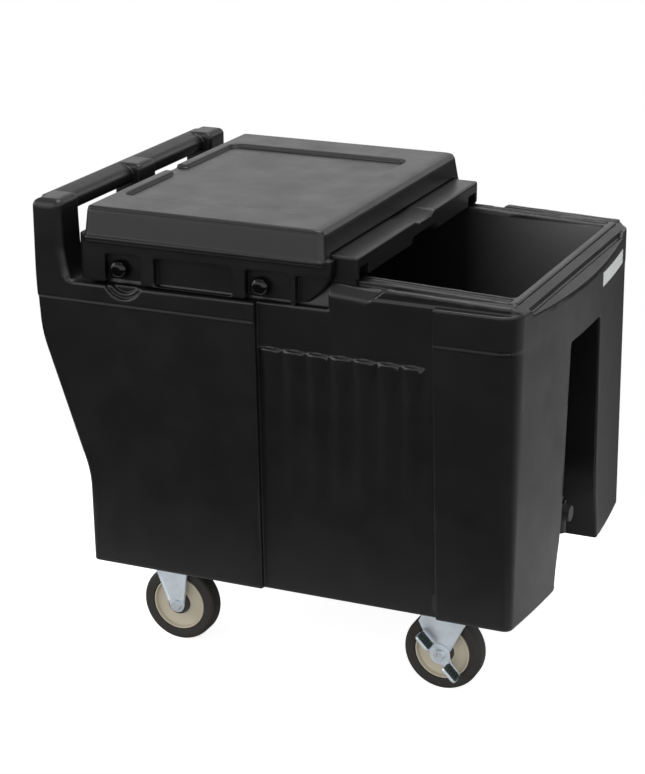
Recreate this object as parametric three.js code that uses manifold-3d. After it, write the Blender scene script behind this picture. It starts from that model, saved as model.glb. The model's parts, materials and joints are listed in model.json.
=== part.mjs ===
import * as THREE from "three";
import { mergeVertices } from "three/addons/utils/BufferGeometryUtils.js";
import Module from "manifold-3d";

// A mobile ice bin: a double-wall moulded tub on four casters, with a fixed rear cover
// and a lid that slides back under it. Millimetres, +X to the front, +Z up.
// The origin is on the floor, under the middle of the whole bin.

const wasm = await Module();
wasm.setup();

// Clearances and facet counts that all pieces share
const seatGap = 0.3; // between a piece and what it rests on
const slideGap = 4; // beside a piece that slides
const turnGap = 0.4; // round a shaft that turns in its bore
const overrun = 12; // how far a cutter reaches past the face it cuts
const weldReach = 0.001; // vertices closer than this are one
const cornerSteps = 4;
const bowSteps = 6; // on each side of the bow's middle
const tyreSteps = 30;
const hubSteps = 20;
const smallSteps = 12;
const quarter = Math.PI / 2;
const sides = [-1, 1];

// Wheels and casters, in the floor's frame
const wheel = {
  diameter: 127,
  width: 32,
  treadRound: 4.5,
  rimDiameter: 90,
  rimWidth: 31,
  lip: 3.5,
  webWidth: 17,
  bossDiameter: 36,
  bossWidth: 37,
  boreDiameter: 16,
};
const axle = { diameter: 10, headAcross: 17, headHeight: 6, nutHeight: 7 };
const caster = {
  height: 164,
  sheet: 3,
  legGap: 40,
  legEndRadius: 13,
  plateLength: 104,
  plateWidth: 84,
  plateRadius: 8,
  plateSheet: 4,
  trackInset: 120,
  rearAxleSetback: 184,
  frontAxleInset: 159,
};
const rigid = { shoulderDrop: 50, topRear: 35, topFront: 19, plateShift: 14 };
const swivel = {
  trail: 20,
  raceDiameter: 68,
  raceHeight: 4.5,
  crownDiameter: 78,
  crownDrop: 13,
  kingpinDiameter: 13,
  kingpinHead: 26,
  kingpinHeadHeight: 5,
  legTopHalf: 37.5,
  legTopDrop: 50,
  turn: Math.PI / 2,
};
const brake = {
  hubRadius: 17,
  barHalf: 5.7,
  sheet: 3,
  armReach: 47,
  armStart: 17,
  armDepth: 24,
  armSheet: 2.5,
  padLength: 27,
  padWidth: 18,
  padHeight: 5,
  padEdge: 1.5,
  padRibs: 5,
  padGroove: 2,
  tilt: 0.8,
};
const boltHead = { across: 13, height: 5, inset: 13 };

// The tub. Heights are above its underside and drops are below the tops of its posts.
// Setbacks are from the outer face of the handle, and insets from the nearest outer face.
const tub = {
  length: 803,
  width: 584,
  postHeight: 588,
  ledgeDrop: 99.5,
  shelfDrop: 126,
  shelfRise: 4,
  beltDrop: 157,
  beltProud: 2.5,
  beltSlope: 4,
  draft: 2,
  bow: 16,
  footRound: 4,
  rimRound: 3,
  rearRadius: 9,
  frontRadius: 24,
  frontTopRadius: 42,
  heelSetback: 86,
  heelTopSetback: 83,
  heelHeight: 149,
  hipSetback: 6,
  hipDrop: 214,
  skin: 6,
  shelfStart: 533,
  shelfEnd: 569,
};
const rim = {
  stepDrop: 90,
  lipRise: 1.5,
  stepInset: 32,
  lipInset: 47,
  slopeRun: 14,
  stepRearSetback: 101.5,
  stepFrontInset: 20,
  lipFrontInset: 32,
  lipRearWidth: 9,
  stepRadius: 40,
  frontSideInset: 13,
  frontRadius: 12,
};
const well = {
  sideWall: 67.5,
  rearSetback: 118.5,
  frontInset: 43,
  radius: 8,
  floorHeight: 58,
  floorRise: 14,
  floorRound: 26,
  draft: 9,
  heelRun: 16,
};
const panel = {
  start: 374,
  startFoot: 382,
  end: 656,
  endFoot: 668,
  depth: 9,
  footDepth: 9,
};
const flute = { count: 7, start: 387, end: 647, topDrop: 34, foot: 70, sunk: 1, proud: 7, gap: 2, back: 4 };
const scoop = { setback: 154, radius: 34, innerRadius: 26, drop: 18, depth: 6, innerDepth: 12 };
const band = { drop: 13 };
const recess = {
  drop: 195,
  topHalf: 75,
  midHalf: 90,
  midHeight: 126,
  footHalf: 115,
  archHeight: 84,
  archEase: 5.4,
  depth: 71,
  wall: 30,
  corner: 4,
  bulgeCorner: 16,
};
const post = {
  sideWidth: 57,
  middleHalf: 28,
  depth: 46,
  baseDepth: 64,
  baseRise: 50,
  topRadius: 12,
  outerRadius: 10,
  edge: 7,
  sunk: 0.5,
};
const bar = { width: 34, height: 26, radius: 11, setback: 1 };
const port = { diameter: 20 };
const portSetbacks = [260, 560];

// The rear cover, in the tub's frame
const cover = {
  rearSetback: 78,
  skirtLength: 418,
  skirtInset: 7,
  skirtWall: 20.5,
  beadRise: 76,
  beadDrop: 5,
  rise: 121,
  topInset: 12,
  beadRearInset: 8,
  beadFrontInset: 15,
  topRearInset: 11,
  topFrontInset: 22,
  edgeRound: 4,
  radius: 8,
  skirtRadius: 18,
  roofClearance: 2,
  cheekDrops: [7, 24, 45, 60],
  cheekInsets: [1, 4, 21, 37],
  cheekFootInset: 47,
};
const pocket = { depth: 12, top: 50, corner: 5, sill: 6 };
const pocketSpans = [
  { start: 43.5, end: 103.5, sill: 0 },
  { start: 126.5, end: 257.5, sill: 1 },
  { start: 279.5, end: 352.5, sill: 0 },
  { start: 361, end: 440, sill: 0 },
];
const topPanel = {
  rearInset: 34,
  frontInset: 71,
  sideInset: 85,
  depth: 5.5,
  radius: 12,
  gapHalf: 20,
  slope: 5,
};

// Knobs that hold the cover on the tub
const knob = {
  headDiameter: 29,
  neckDiameter: 19,
  headDepth: 17,
  neckDepth: 5,
  crown: 6,
  lobes: 6,
  lobeDepth: 1.6,
  studDiameter: 7.6,
  studLength: 28,
  rise: 26,
};
const knobSetbacks = [143, 380];
const insert = { diameter: 14, length: 19, flangeWidth: 4, flangeProud: 0.8, depthSpare: 3 };

// The sliding lid
const lid = {
  overhang: 33,
  rearGap: 30.5,
  thickness: 35,
  runnerWidth: 8,
  runnerHeight: 10,
  round: 4,
  radius: 5,
  notchWidth: 45,
  notchHeight: 17,
  notchLength: 26,
  pullCentre: 15,
  pullHalf: 53,
  pullHeight: 10,
  pullDepth: 24,
  thumbHalf: 43,
  thumbDepth: 7,
  thumbLength: 60,
};

// The perforated shelf in the well, and the drain in the recess
const shelf = {
  height: 34,
  sheet: 4,
  clearance: 6,
  slotGap: 20,
  slotWidth: 10,
  rows: 6,
  columns: 3,
  margin: 44,
  ribInset: 60,
  ribWidth: 5,
};
const drain = {
  height: 86,
  tubeDiameter: 25,
  boreDiameter: 16,
  flangeDiameter: 42,
  flangeWidth: 4,
  gasketWidth: 2,
  nutAcross: 38,
  nutWidth: 8,
  tubeReach: 18,
  bossWall: 7,
};
const tap = {
  collarDiameter: 34,
  collarLength: 14,
  bodyDiameter: 26,
  bodyLength: 34,
  spoutDiameter: 18,
  spoutBore: 12,
  spoutDrop: 34,
  stemDiameter: 10,
  seatHeight: 4,
  stemHeight: 4,
  leverLength: 30,
  leverWidth: 11,
  leverSheet: 5,
  leverHub: 17,
};

// Places worked out from the sizes
const rearX = -tub.length / 2;
const frontX = tub.length / 2;
const tubHalf = tub.width / 2;
const ledgeHeight = tub.postHeight - tub.ledgeDrop;
const shelfHeight = tub.postHeight - tub.shelfDrop;
const beltHeight = tub.postHeight - tub.beltDrop;
const hipHeight = tub.postHeight - tub.hipDrop;
const stepHeight = tub.postHeight - rim.stepDrop;
const lipHeight = stepHeight + rim.lipRise;
const fluteTop = beltHeight - flute.topDrop;
const recessHeight = tub.postHeight - recess.drop;
const beadHeight = shelfHeight + cover.beadRise;
const coverTop = shelfHeight + cover.rise;
const knobHeight = shelfHeight + knob.rise;
const stepHalf = tubHalf - rim.stepInset;
const lipHalf = tubHalf - rim.lipInset;
const wellHalf = tubHalf - well.sideWall;
const skirtHalf = tubHalf - cover.skirtInset;
const crestHalf = tubHalf - cover.topInset;
const cornerX = frontX - tub.bow;
const rimFrontX = frontX - rim.stepFrontInset;
const rimRearX = rearX + rim.stepRearSetback;
const wellFrontX = frontX - well.frontInset;
const wellRearX = rearX + well.rearSetback;
const recessX = frontX - recess.depth;
const bulgeX = recessX - recess.wall;
const coverRearX = rearX + cover.rearSetback;
const coverFrontX = coverRearX + cover.skirtLength;
const lidFrontX = coverFrontX + lid.overhang;
const lidLength = lidFrontX - coverRearX - cover.skirtWall - lid.rearGap;
const lidHalf = skirtHalf - cover.skirtWall - slideGap / 2 - turnGap;
const runnerFoot = stepHeight + seatGap;
const lidFoot = runnerFoot + lid.runnerHeight;
const lidTop = lidFoot + lid.thickness - seatGap;
const roofHeight = lidTop + cover.roofClearance;
const wheelRadius = wheel.diameter / 2;
const wheelY = tubHalf - caster.trackInset;
const rearAxleX = rearX + caster.rearAxleSetback;
const frontAxleX = frontX - caster.frontAxleInset;
const legOuter = caster.legGap / 2 + caster.sheet;
const boltReach = legOuter + seatGap;

// Closed geometry as a solid that can be cut and joined
function solid(geometry) {
  const bare = geometry.index ? geometry.toNonIndexed() : geometry.clone();
  bare.deleteAttribute("normal");
  bare.deleteAttribute("uv");
  const merged = mergeVertices(bare, weldReach);
  const index = merged.index.array;
  const kept = [];
  for (let i = 0; i < index.length; i += 3) {
    const [a, b, c] = [index[i], index[i + 1], index[i + 2]];
    if (a !== b && b !== c && c !== a) kept.push(a, b, c);
  }
  const vertProperties = merged.attributes.position.array;
  const triVerts = new Uint32Array(kept);
  return new wasm.Manifold(new wasm.Mesh({ numProp: 3, vertProperties, triVerts }));
}

function union(...pieces) {
  return pieces.reduce((all, piece) => all.add(piece));
}

function cut(piece, ...cutters) {
  return cutters.reduce((left, cutter) => left.subtract(cutter), piece);
}

function geometryOf(piece) {
  const mesh = piece.getMesh();
  const shared = new THREE.BufferGeometry();
  shared.setAttribute("position", new THREE.BufferAttribute(mesh.vertProperties, 3));
  shared.setIndex(new THREE.BufferAttribute(mesh.triVerts, 1));
  const flat = shared.toNonIndexed();
  flat.computeVertexNormals();
  return flat;
}

// Outlines
function polygon(points) {
  return new THREE.Shape(points.map(([x, y]) => new THREE.Vector2(x, y)));
}

function arc(x, y, radius, from, to, steps) {
  return Array.from({ length: steps + 1 }, (_, i) => {
    const angle = from + ((to - from) * i) / steps;
    return [x + radius * Math.cos(angle), y + radius * Math.sin(angle)];
  });
}

function roundedOutline(x0, x1, y0, y1, radius, steps = cornerSteps) {
  const r = Math.min(radius, (x1 - x0) / 2, (y1 - y0) / 2);
  return [
    ...arc(x0 + r, y0 + r, r, Math.PI, Math.PI + quarter, steps),
    ...arc(x1 - r, y0 + r, r, -quarter, 0, steps),
    ...arc(x1 - r, y1 - r, r, 0, quarter, steps),
    ...arc(x0 + r, y1 - r, r, quarter, Math.PI, steps),
  ];
}

function circle(x, y, radius, steps) {
  const points = arc(x, y, radius, 0, -2 * Math.PI, steps).slice(1);
  return new THREE.Path(points.map(([a, b]) => new THREE.Vector2(a, b)));
}

// Prisms along each axis
function prismZ(shape, z0, z1) {
  return new THREE.ExtrudeGeometry(shape, { depth: z1 - z0, bevelEnabled: false }).translate(0, 0, z0);
}

// The outline's x and y are the piece's x and z
function prismY(shape, y0, y1) {
  const upright = new THREE.ExtrudeGeometry(shape, { depth: Math.abs(y1 - y0), bevelEnabled: false });
  return upright.rotateX(quarter).translate(0, Math.max(y0, y1), 0);
}

// The outline's x and y are the piece's y and z
const yzToXyz = new THREE.Matrix4().makeBasis(
  new THREE.Vector3(0, 1, 0),
  new THREE.Vector3(0, 0, 1),
  new THREE.Vector3(1, 0, 0),
);
function prismX(shape, x0, x1) {
  const upright = new THREE.ExtrudeGeometry(shape, { depth: x1 - x0, bevelEnabled: false });
  return upright.applyMatrix4(yzToXyz).translate(x0, 0, 0);
}

function block(x0, x1, y0, y1, z0, z1) {
  const [low, high] = y0 < y1 ? [y0, y1] : [y1, y0];
  const box = new THREE.BoxGeometry(x1 - x0, high - low, z1 - z0);
  return box.translate((x0 + x1) / 2, (low + high) / 2, (z0 + z1) / 2);
}

// A solid of revolution about Y, from [radius, height] pairs that close on themselves
function revolve(profile, steps) {
  const points = [...profile, profile[0]].map(([r, h]) => new THREE.Vector2(r, h));
  return new THREE.LatheGeometry(points, steps);
}

// The radius of a faceted hole whose flats clear a round shaft of the radius given
function boreRadius(radius) {
  return radius / Math.cos(Math.PI / smallSteps);
}

function rodY(x, z, radius, y0, y1, steps = smallSteps) {
  const rod = new THREE.CylinderGeometry(radius, radius, Math.abs(y1 - y0), steps);
  return rod.rotateY(Math.PI / steps).translate(x, (y0 + y1) / 2, z);
}

function rodX(y, z, radius, x0, x1, steps = smallSteps) {
  const rod = new THREE.CylinderGeometry(radius, radius, x1 - x0, steps);
  return rod.rotateZ(quarter).translate((x0 + x1) / 2, y, z);
}

function rodZ(x, y, radius, z0, z1, steps = smallSteps) {
  const rod = new THREE.CylinderGeometry(radius, radius, z1 - z0, steps);
  return rod.rotateX(quarter).translate(x, y, (z0 + z1) / 2);
}

// A closed skin over rings of [x, y, z] points, lowest ring first, each anticlockwise from above
function loft(rings) {
  const count = rings[0].length;
  const centre = (ring) => [0, 1, 2].map((k) => ring.reduce((sum, p) => sum + p[k], 0) / count);
  const points = [...rings.flat(), centre(rings[0]), centre(rings.at(-1))];
  const lowCentre = points.length - 2;
  const highCentre = points.length - 1;
  const last = (rings.length - 1) * count;
  const index = [];
  for (let i = 0; i < count; i += 1) {
    const j = (i + 1) % count;
    index.push(lowCentre, j, i, highCentre, last + i, last + j);
    for (let level = 0; level < last; level += count) {
      const [low, next] = [level + i, level + j];
      index.push(low, next, next + count, low, next + count, low + count);
    }
  }
  const skin = new THREE.BufferGeometry();
  skin.setAttribute("position", new THREE.Float32BufferAttribute(points.flat(), 3));
  skin.setIndex(index);
  return skin;
}

function ringAt(outline, z) {
  return outline.map(([x, y]) => [x, y, z]);
}

function roundedLoft(levels) {
  const ring = ({ x0, x1, half, radius, z }) => ringAt(roundedOutline(x0, x1, -half, half, radius), z);
  return loft(levels.map(ring));
}

// The tub's outside
function between(z, z0, z1, a, b) {
  return a + ((b - a) * (z - z0)) / (z1 - z0);
}

function rearAt(z) {
  if (z < tub.heelHeight) {
    return rearX + between(z, 0, tub.heelHeight, tub.heelSetback, tub.heelTopSetback);
  }
  if (z < hipHeight) {
    return rearX + between(z, tub.heelHeight, hipHeight, tub.heelTopSetback, tub.hipSetback);
  }
  return rearX + between(z, hipHeight, tub.postHeight, tub.hipSetback, 0);
}

function halfAt(z) {
  const belt = z > beltHeight ? 0 : tub.beltProud;
  return tubHalf - belt - between(z, 0, ledgeHeight, tub.draft, 0);
}

function tubOutline(z, inset) {
  const half = halfAt(z) - inset;
  const belt = z > beltHeight ? 0 : tub.beltProud;
  const rear = rearAt(z) + inset + belt;
  const front = cornerX - inset;
  const radius = between(z, 0, ledgeHeight, tub.frontRadius, tub.frontTopRadius);
  const bowHalf = half - radius;
  const bow = Array.from({ length: 2 * bowSteps - 1 }, (_, i) => {
    const share = (i + 1) / bowSteps - 1;
    return [front + tub.bow * (1 - share * share), bowHalf * share];
  });
  const rearRadius = Math.max(tub.rearRadius - inset, tub.footRound / 2);
  const corners = [
    ...arc(rear + rearRadius, -half + rearRadius, rearRadius, Math.PI, Math.PI + quarter, cornerSteps),
    ...arc(front - radius, -bowHalf, radius, -quarter, 0, cornerSteps),
    ...bow,
    ...arc(front - radius, bowHalf, radius, 0, quarter, cornerSteps),
    ...arc(rear + rearRadius, half - rearRadius, rearRadius, quarter, Math.PI, cornerSteps),
  ];
  return corners.map(([x, y]) => [x, y, z]);
}

// A ring of the tub whose front sinks to the lowered band along the top of the front wall
function rimOutline(z, inset) {
  const bowStart = cornerX - inset + seatGap;
  return tubOutline(z, inset).map(([x, y]) => [x, y, x > bowStart ? z - band.drop : z]);
}

function tubOutside() {
  const rounding = arc(tub.footRound, tub.footRound, tub.footRound, -quarter, -Math.PI, cornerSteps - 1);
  const levels = [tub.heelHeight, hipHeight, beltHeight, beltHeight + tub.beltSlope];
  const top = ledgeHeight;
  const rings = [
    ...rounding.map(([inset, z]) => tubOutline(z, inset)),
    ...levels.map((z) => tubOutline(z, 0)),
    rimOutline(top - tub.rimRound, 0),
    rimOutline(top, tub.rimRound),
  ];
  return solid(loft(rings));
}

// The rear part of the tub is lower, with a sloped foot up to the rim that the cover sits round.
// grow makes the same form larger, for the cover's inside.
function rimFoot(grow) {
  const x1 = rimFrontX - rim.stepRadius;
  const level = (run, z) => {
    return { x0: rimRearX - run, x1, half: stepHalf + run, radius: rim.stepRadius / 2, z };
  };
  const foot = level(rim.slopeRun + grow, shelfHeight - seatGap);
  return solid(roundedLoft([foot, level(grow, stepHeight + grow)]));
}

function shelfCutter() {
  const top = tub.postHeight + overrun;
  const startX = rearX + tub.shelfStart;
  const endX = rearX + tub.shelfEnd;
  const profile = polygon([
    [rearX - overrun, shelfHeight],
    [rearX + tub.hipSetback, shelfHeight],
    [startX, shelfHeight + tub.shelfRise],
    [endX, stepHeight],
    [endX, top],
    [rearX - overrun, top],
  ]);
  const reach = tubHalf + overrun;
  return solid(prismY(profile, -reach, reach)).subtract(rimFoot(0));
}

function rimRidge() {
  const { stepRadius } = rim;
  const step = polygon(roundedOutline(rimRearX, rimFrontX, -stepHalf, stepHalf, stepRadius));
  const lipRearX = wellRearX - rim.lipRearWidth;
  const lipFrontX = frontX - rim.lipFrontInset;
  const lip = polygon(roundedOutline(lipRearX, lipFrontX, -lipHalf, lipHalf, well.radius));
  const foot = shelfHeight - tub.rimRound;
  return solid(prismZ(step, foot, stepHeight)).add(solid(prismZ(lip, foot, lipHeight)));
}

// In front of the cover the rim is wider, and the shelf slopes up to it
function frontRim() {
  const half = tubHalf - rim.frontSideInset;
  const startX = rearX + tub.shelfStart - overrun;
  const outline = polygon(roundedOutline(startX, rimFrontX, -half, half, rim.frontRadius));
  return solid(prismZ(outline, shelfHeight - tub.rimRound, stepHeight));
}

// The ice well. grow makes the same form larger, for the wall of plastic round it.
function wellSpace(grow) {
  const floorAt = (x) => well.floorHeight - grow + between(x, wellFrontX, wellRearX, 0, well.floorRise);
  const level = (rise, inset, lean) => {
    const half = wellHalf + grow - inset - well.draft * lean;
    const x0 = wellRearX - grow + inset + well.heelRun * lean;
    const x1 = wellFrontX + grow - inset - well.draft * lean;
    return roundedOutline(x0, x1, -half, half, well.radius).map(([x, y]) => [x, y, floorAt(x) + rise]);
  };
  const { floorRound } = well;
  const bend = floorRound / 3;
  const top = ringAt(level(0, 0, 0), lipHeight + overrun);
  const space = loft([level(0, floorRound, 1), level(bend, bend, 1), level(floorRound, 0, 1), top]);
  return solid(space).subtract(bulge(grow));
}

// Where the drain recess pushes the well's front wall inwards
function bulge(grow) {
  const top = recessHeight + recess.wall - grow;
  const half = recess.topHalf + recess.wall - grow;
  const footHalf = recess.midHalf + recess.wall - grow;
  const outline = polygon([
    [-footHalf, -overrun],
    [footHalf, -overrun],
    [half, top - recess.bulgeCorner],
    [half - recess.bulgeCorner, top],
    [recess.bulgeCorner - half, top],
    [-half, top - recess.bulgeCorner],
  ]);
  return solid(prismX(outline, bulgeX + grow, frontX + overrun));
}

// The open recess in the front, where the drain is reached from below
function recessSpace(grow) {
  const { corner, archHeight, archEase } = recess;
  const top = recessHeight + grow;
  const footHalf = recess.footHalf + grow;
  const midHalf = recess.midHalf + grow;
  const half = recess.topHalf + grow;
  const side = [
    [footHalf, -overrun],
    [(footHalf + midHalf) / 2 + archEase, archHeight / 2],
    [midHalf + archEase, archHeight],
    [midHalf, recess.midHeight],
    ...arc(half - corner, top - corner, corner, 0, quarter, cornerSteps - 1),
  ];
  const otherSide = side.map(([y, z]) => [-y, z]).reverse();
  return solid(prismX(polygon([...side, ...otherSide]), recessX - grow, frontX + overrun));
}

// The recessed middle panel of each side, with its flutes
function panelCutter(side) {
  const outer = tubHalf + overrun;
  const ring = (start, end, depth, z) => {
    const inner = halfAt(z) - depth;
    const [low, high] = side > 0 ? [inner, outer] : [-outer, -inner];
    const [x0, x1] = [rearX + start, rearX + end];
    return [[x0, low, z], [x1, low, z], [x1, high, z], [x0, high, z]];
  };
  const belt = beltHeight;
  const top = tub.postHeight;
  return solid(
    loft([
      ring(panel.startFoot, panel.endFoot, panel.footDepth, -overrun),
      ring(panel.start, panel.end, panel.depth, belt),
      ring(panel.start, panel.end, panel.depth + tub.beltProud, belt + tub.beltSlope),
      ring(panel.start, panel.end, panel.depth + tub.beltProud, top),
    ]),
  );
}

function flutes(side) {
  const pitch = (flute.end - flute.start) / flute.count;
  const half = (pitch - flute.gap) / 2;
  const ring = (x, proud, z) => {
    const wall = halfAt(z) - panel.depth;
    const crest = arc(0, 0, 1, 0, Math.PI, 2 * cornerSteps);
    const outline = crest.map(([a, b]) => [x + half * a, side * (wall + proud * b)]);
    const back = [[x - half, side * (wall - flute.back)], [x + half, side * (wall - flute.back)]];
    const points = [...outline, ...back];
    return ringAt(side > 0 ? points : points.reverse(), z);
  };
  return Array.from({ length: flute.count }, (_, i) => {
    const x = rearX + flute.start + pitch * (i + 1 / 2);
    return solid(loft([ring(x, -flute.sunk, flute.foot), ring(x, flute.proud, fluteTop)]));
  });
}

function fingerScoop(side) {
  const x = rearX + scoop.setback;
  const z = shelfHeight - scoop.drop + scoop.radius;
  const half = tubHalf;
  const step = (radius, depth) => {
    return solid(rodY(x, z, radius, side * (half - depth), side * (half + overrun), 2 * smallSteps));
  };
  return step(scoop.radius, scoop.depth).add(step(scoop.innerRadius, scoop.innerDepth));
}

// The push handle: three posts and a bar, moulded with the tub
function handlePost(y0, y1) {
  const top = tub.postHeight;
  const inner = rearX + post.depth;
  const base = rearX + post.baseDepth;
  const foot = shelfHeight - post.edge - tub.rimRound;
  const { topRadius, outerRadius, edge } = post;
  const outline = polygon([
    [rearAt(foot) + post.sunk, foot],
    [base, foot],
    [base, shelfHeight],
    [(base + inner) / 2, shelfHeight + post.baseRise / 3],
    [inner, shelfHeight + post.baseRise],
    ...arc(inner - topRadius, top - topRadius, topRadius, 0, quarter, cornerSteps),
    ...arc(rearX + outerRadius, top - outerRadius, outerRadius, quarter, Math.PI, cornerSteps),
  ]);
  const bevel = { bevelSize: edge, bevelThickness: edge, bevelOffset: -edge, bevelSegments: 3 };
  const shape = new THREE.ExtrudeGeometry(outline, { depth: y1 - y0 - 2 * edge, ...bevel });
  return solid(shape.rotateX(quarter).translate(0, y1 - edge, 0));
}

function handleBar() {
  const x0 = rearX + bar.setback;
  const top = tub.postHeight - bar.setback;
  const outline = polygon(roundedOutline(x0, x0 + bar.width, top - bar.height, top, bar.radius));
  const reach = tubHalf - post.sideWidth / 2;
  return solid(prismY(outline, -reach, reach));
}

function handle() {
  const outer = tubHalf;
  return union(
    handlePost(-outer, post.sideWidth - outer),
    handlePost(-post.middleHalf, post.middleHalf),
    handlePost(outer - post.sideWidth, outer),
    handleBar(),
  );
}

// The space between the skins, which the foam fills
function foamSpace(inset) {
  const wall = tub.skin + inset;
  const level = (z) => ({
    x0: rearAt(z) + tub.beltProud + wall,
    x1: cornerX - wall,
    half: halfAt(z) - panel.depth - flute.back - wall,
    radius: tub.frontRadius,
    z,
  });
  const foot = tub.footRound / 2 + wall;
  const top = shelfHeight - scoop.innerDepth - wall;
  const outside = roundedLoft([foot, tub.heelHeight, hipHeight, top].map(level));
  const bossRadius = drain.tubeDiameter / 2 + drain.bossWall + inset;
  const boss = rodX(0, drain.height, bossRadius, bulgeX - overrun, frontX);
  return cut(solid(outside), wellSpace(wall), recessSpace(wall), solid(boss));
}

function knobPlaces() {
  return knobSetbacks.flatMap((setback) => sides.map((side) => ({ x: rearX + setback, side })));
}

// Where the sloped foot of the rim lies at the knobs' height
const knobSlope = between(knobHeight, shelfHeight, stepHeight, rim.slopeRun, 0);
const knobSeat = stepHalf + knobSlope;

function bodyShell() {
  let shell = cut(union(tubOutside(), frontRim()), shelfCutter());
  shell = union(shell, rimRidge(), handle());
  for (const side of sides) {
    shell = shell.subtract(panelCutter(side));
    shell = union(shell, ...flutes(side));
    shell = shell.subtract(fingerScoop(side));
  }
  shell = cut(shell, wellSpace(0), recessSpace(0), foamSpace(0));
  const drainRadius = boreRadius(drain.tubeDiameter / 2 + turnGap);
  shell = shell.subtract(solid(rodX(0, drain.height, drainRadius, bulgeX - overrun, frontX)));
  const portTop = well.floorHeight - tub.skin * 2;
  for (const setback of portSetbacks) {
    const hole = rodZ(rearX + setback, 0, boreRadius(port.diameter / 2), -overrun, portTop);
    shell = shell.subtract(solid(hole));
  }
  for (const { x, side } of knobPlaces()) {
    const bottom = knobSeat - insert.length - insert.depthSpare;
    const radius = boreRadius(insert.diameter / 2 + seatGap);
    const hole = rodY(x, knobHeight, radius, side * bottom, side * (knobSeat + overrun));
    shell = shell.subtract(solid(hole));
  }
  return shell;
}

function foamPlug() {
  const radius = port.diameter / 2 - seatGap;
  const depth = tub.skin + tub.footRound / 2;
  return solid(rodZ(0, 0, radius, 0, depth - seatGap));
}

// The rear cover: a crowned top over a skirt that stands on the tub's shelf
function coverCrown() {
  const { radius, edgeRound: round } = cover;
  const level = (rear, front, half, inset, z) => {
    const [x0, x1] = [coverRearX + rear + inset, coverFrontX - front - inset];
    return { x0, x1, half: half - inset, radius, z };
  };
  const bead = (inset, z) => level(cover.beadRearInset, cover.beadFrontInset, tubHalf, inset, z);
  const crest = (inset, z) => {
    return level(cover.topRearInset, cover.topFrontInset, crestHalf, inset, z);
  };
  const beadFoot = beadHeight - cover.beadDrop;
  return solid(
    roundedLoft([
      bead(round, beadFoot - round / 2),
      bead(0, beadFoot),
      bead(0, beadHeight),
      bead(round, beadHeight + round / 2),
      crest(0, coverTop - round),
      crest(round, coverTop),
    ]),
  );
}

function coverSkirt() {
  const foot = shelfHeight + tub.shelfRise + seatGap;
  const top = beadHeight - cover.beadDrop;
  const cheek = cover.cheekDrops.map((drop, i) => [coverFrontX - cover.cheekInsets[i], top - drop]);
  const profile = polygon([
    [coverRearX, foot],
    [coverFrontX - cover.cheekFootInset, foot],
    ...cheek.reverse(),
    [coverFrontX - cover.cheekInsets[0], top + cover.beadDrop / 2],
    [coverRearX, top + cover.beadDrop / 2],
  ]);
  const plan = roundedOutline(coverRearX, coverFrontX, -skirtHalf, skirtHalf, cover.skirtRadius);
  const column = solid(prismZ(polygon(plan), foot - overrun, top + overrun));
  return column.intersect(solid(prismY(profile, -skirtHalf, skirtHalf)));
}

function pocketCutter(span, side) {
  const inner = side * (skirtHalf - pocket.depth);
  const outer = side * (skirtHalf + overrun);
  const x0 = coverRearX + span.start;
  const x1 = coverRearX + span.end;
  const z0 = shelfHeight + (span.sill ? pocket.sill : -overrun);
  const z1 = shelfHeight + pocket.top;
  const outline = polygon(roundedOutline(x0, x1, z0, z1, pocket.corner, 2));
  return solid(prismY(outline, inner, outer));
}

function topPanelCutter() {
  const x0 = coverRearX + topPanel.rearInset;
  const x1 = coverFrontX - topPanel.frontInset;
  const z0 = coverTop - topPanel.depth;
  const { radius, slope, gapHalf } = topPanel;
  const half = crestHalf - topPanel.sideInset;
  const dish = roundedLoft([
    { x0, x1, half, radius, z: z0 },
    { x0: x0 - slope, x1: x1 + slope, half: half + slope, radius, z: coverTop + seatGap },
  ]);
  const gap = (grow, z) => [
    [coverRearX, -gapHalf - grow, z],
    [x0 + radius, -gapHalf - grow, z],
    [x0 + radius, gapHalf + grow, z],
    [coverRearX, gapHalf + grow, z],
  ];
  return solid(dish).add(solid(loft([gap(0, z0), gap(slope, coverTop + seatGap)])));
}

function rearCover() {
  const inner = skirtHalf - cover.skirtWall;
  const x0 = coverRearX + cover.skirtWall;
  const low = shelfHeight - overrun;
  const lidSpace = solid(block(x0, coverFrontX + overrun, -inner, inner, low, roofHeight));
  let shell = union(coverCrown(), coverSkirt());
  shell = cut(shell, lidSpace, rimFoot(seatGap * 2), topPanelCutter());
  for (const side of sides) {
    for (const span of pocketSpans) shell = shell.subtract(pocketCutter(span, side));
  }
  for (const { x, side } of knobPlaces()) {
    const radius = boreRadius(knob.studDiameter / 2 + turnGap);
    const hole = rodY(x, knobHeight, radius, side * (stepHalf - overrun), side * skirtHalf);
    shell = shell.subtract(solid(hole));
  }
  return shell;
}

// The lid slides on two runners that rest on the step of the rim
function slidingLid() {
  const { round, radius, runnerWidth, runnerHeight, notchWidth, notchHeight } = lid;
  const top = lid.thickness - seatGap;
  const level = (inset, z) => {
    return { x0: inset - lidLength, x1: -inset, half: lidHalf - inset, radius, z };
  };
  const slab = [level(round / 2, 0), level(0, round / 2), level(0, top - round), level(round, top)];
  let body = solid(roundedLoft(slab));
  for (const side of sides) {
    const [y0, y1, y2] = [lidHalf - notchWidth, lidHalf - runnerWidth, lidHalf].map((y) => side * y);
    const runner = block(radius - lidLength, -radius / 2, y1, y2, -runnerHeight, round);
    const notch = block(-lid.notchLength, overrun, y0, y1, -overrun, notchHeight);
    body = cut(body.add(solid(runner)), solid(notch));
  }
  return cut(body, pullNotch(), thumbScoop());
}

function pullNotch() {
  const y0 = lid.pullCentre - lid.pullHalf;
  const y1 = lid.pullCentre + lid.pullHalf;
  const outline = polygon(roundedOutline(y0, y1, -lid.pullHeight, lid.pullHeight, lid.pullHeight));
  return solid(prismX(outline, -lid.pullDepth, overrun));
}

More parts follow.
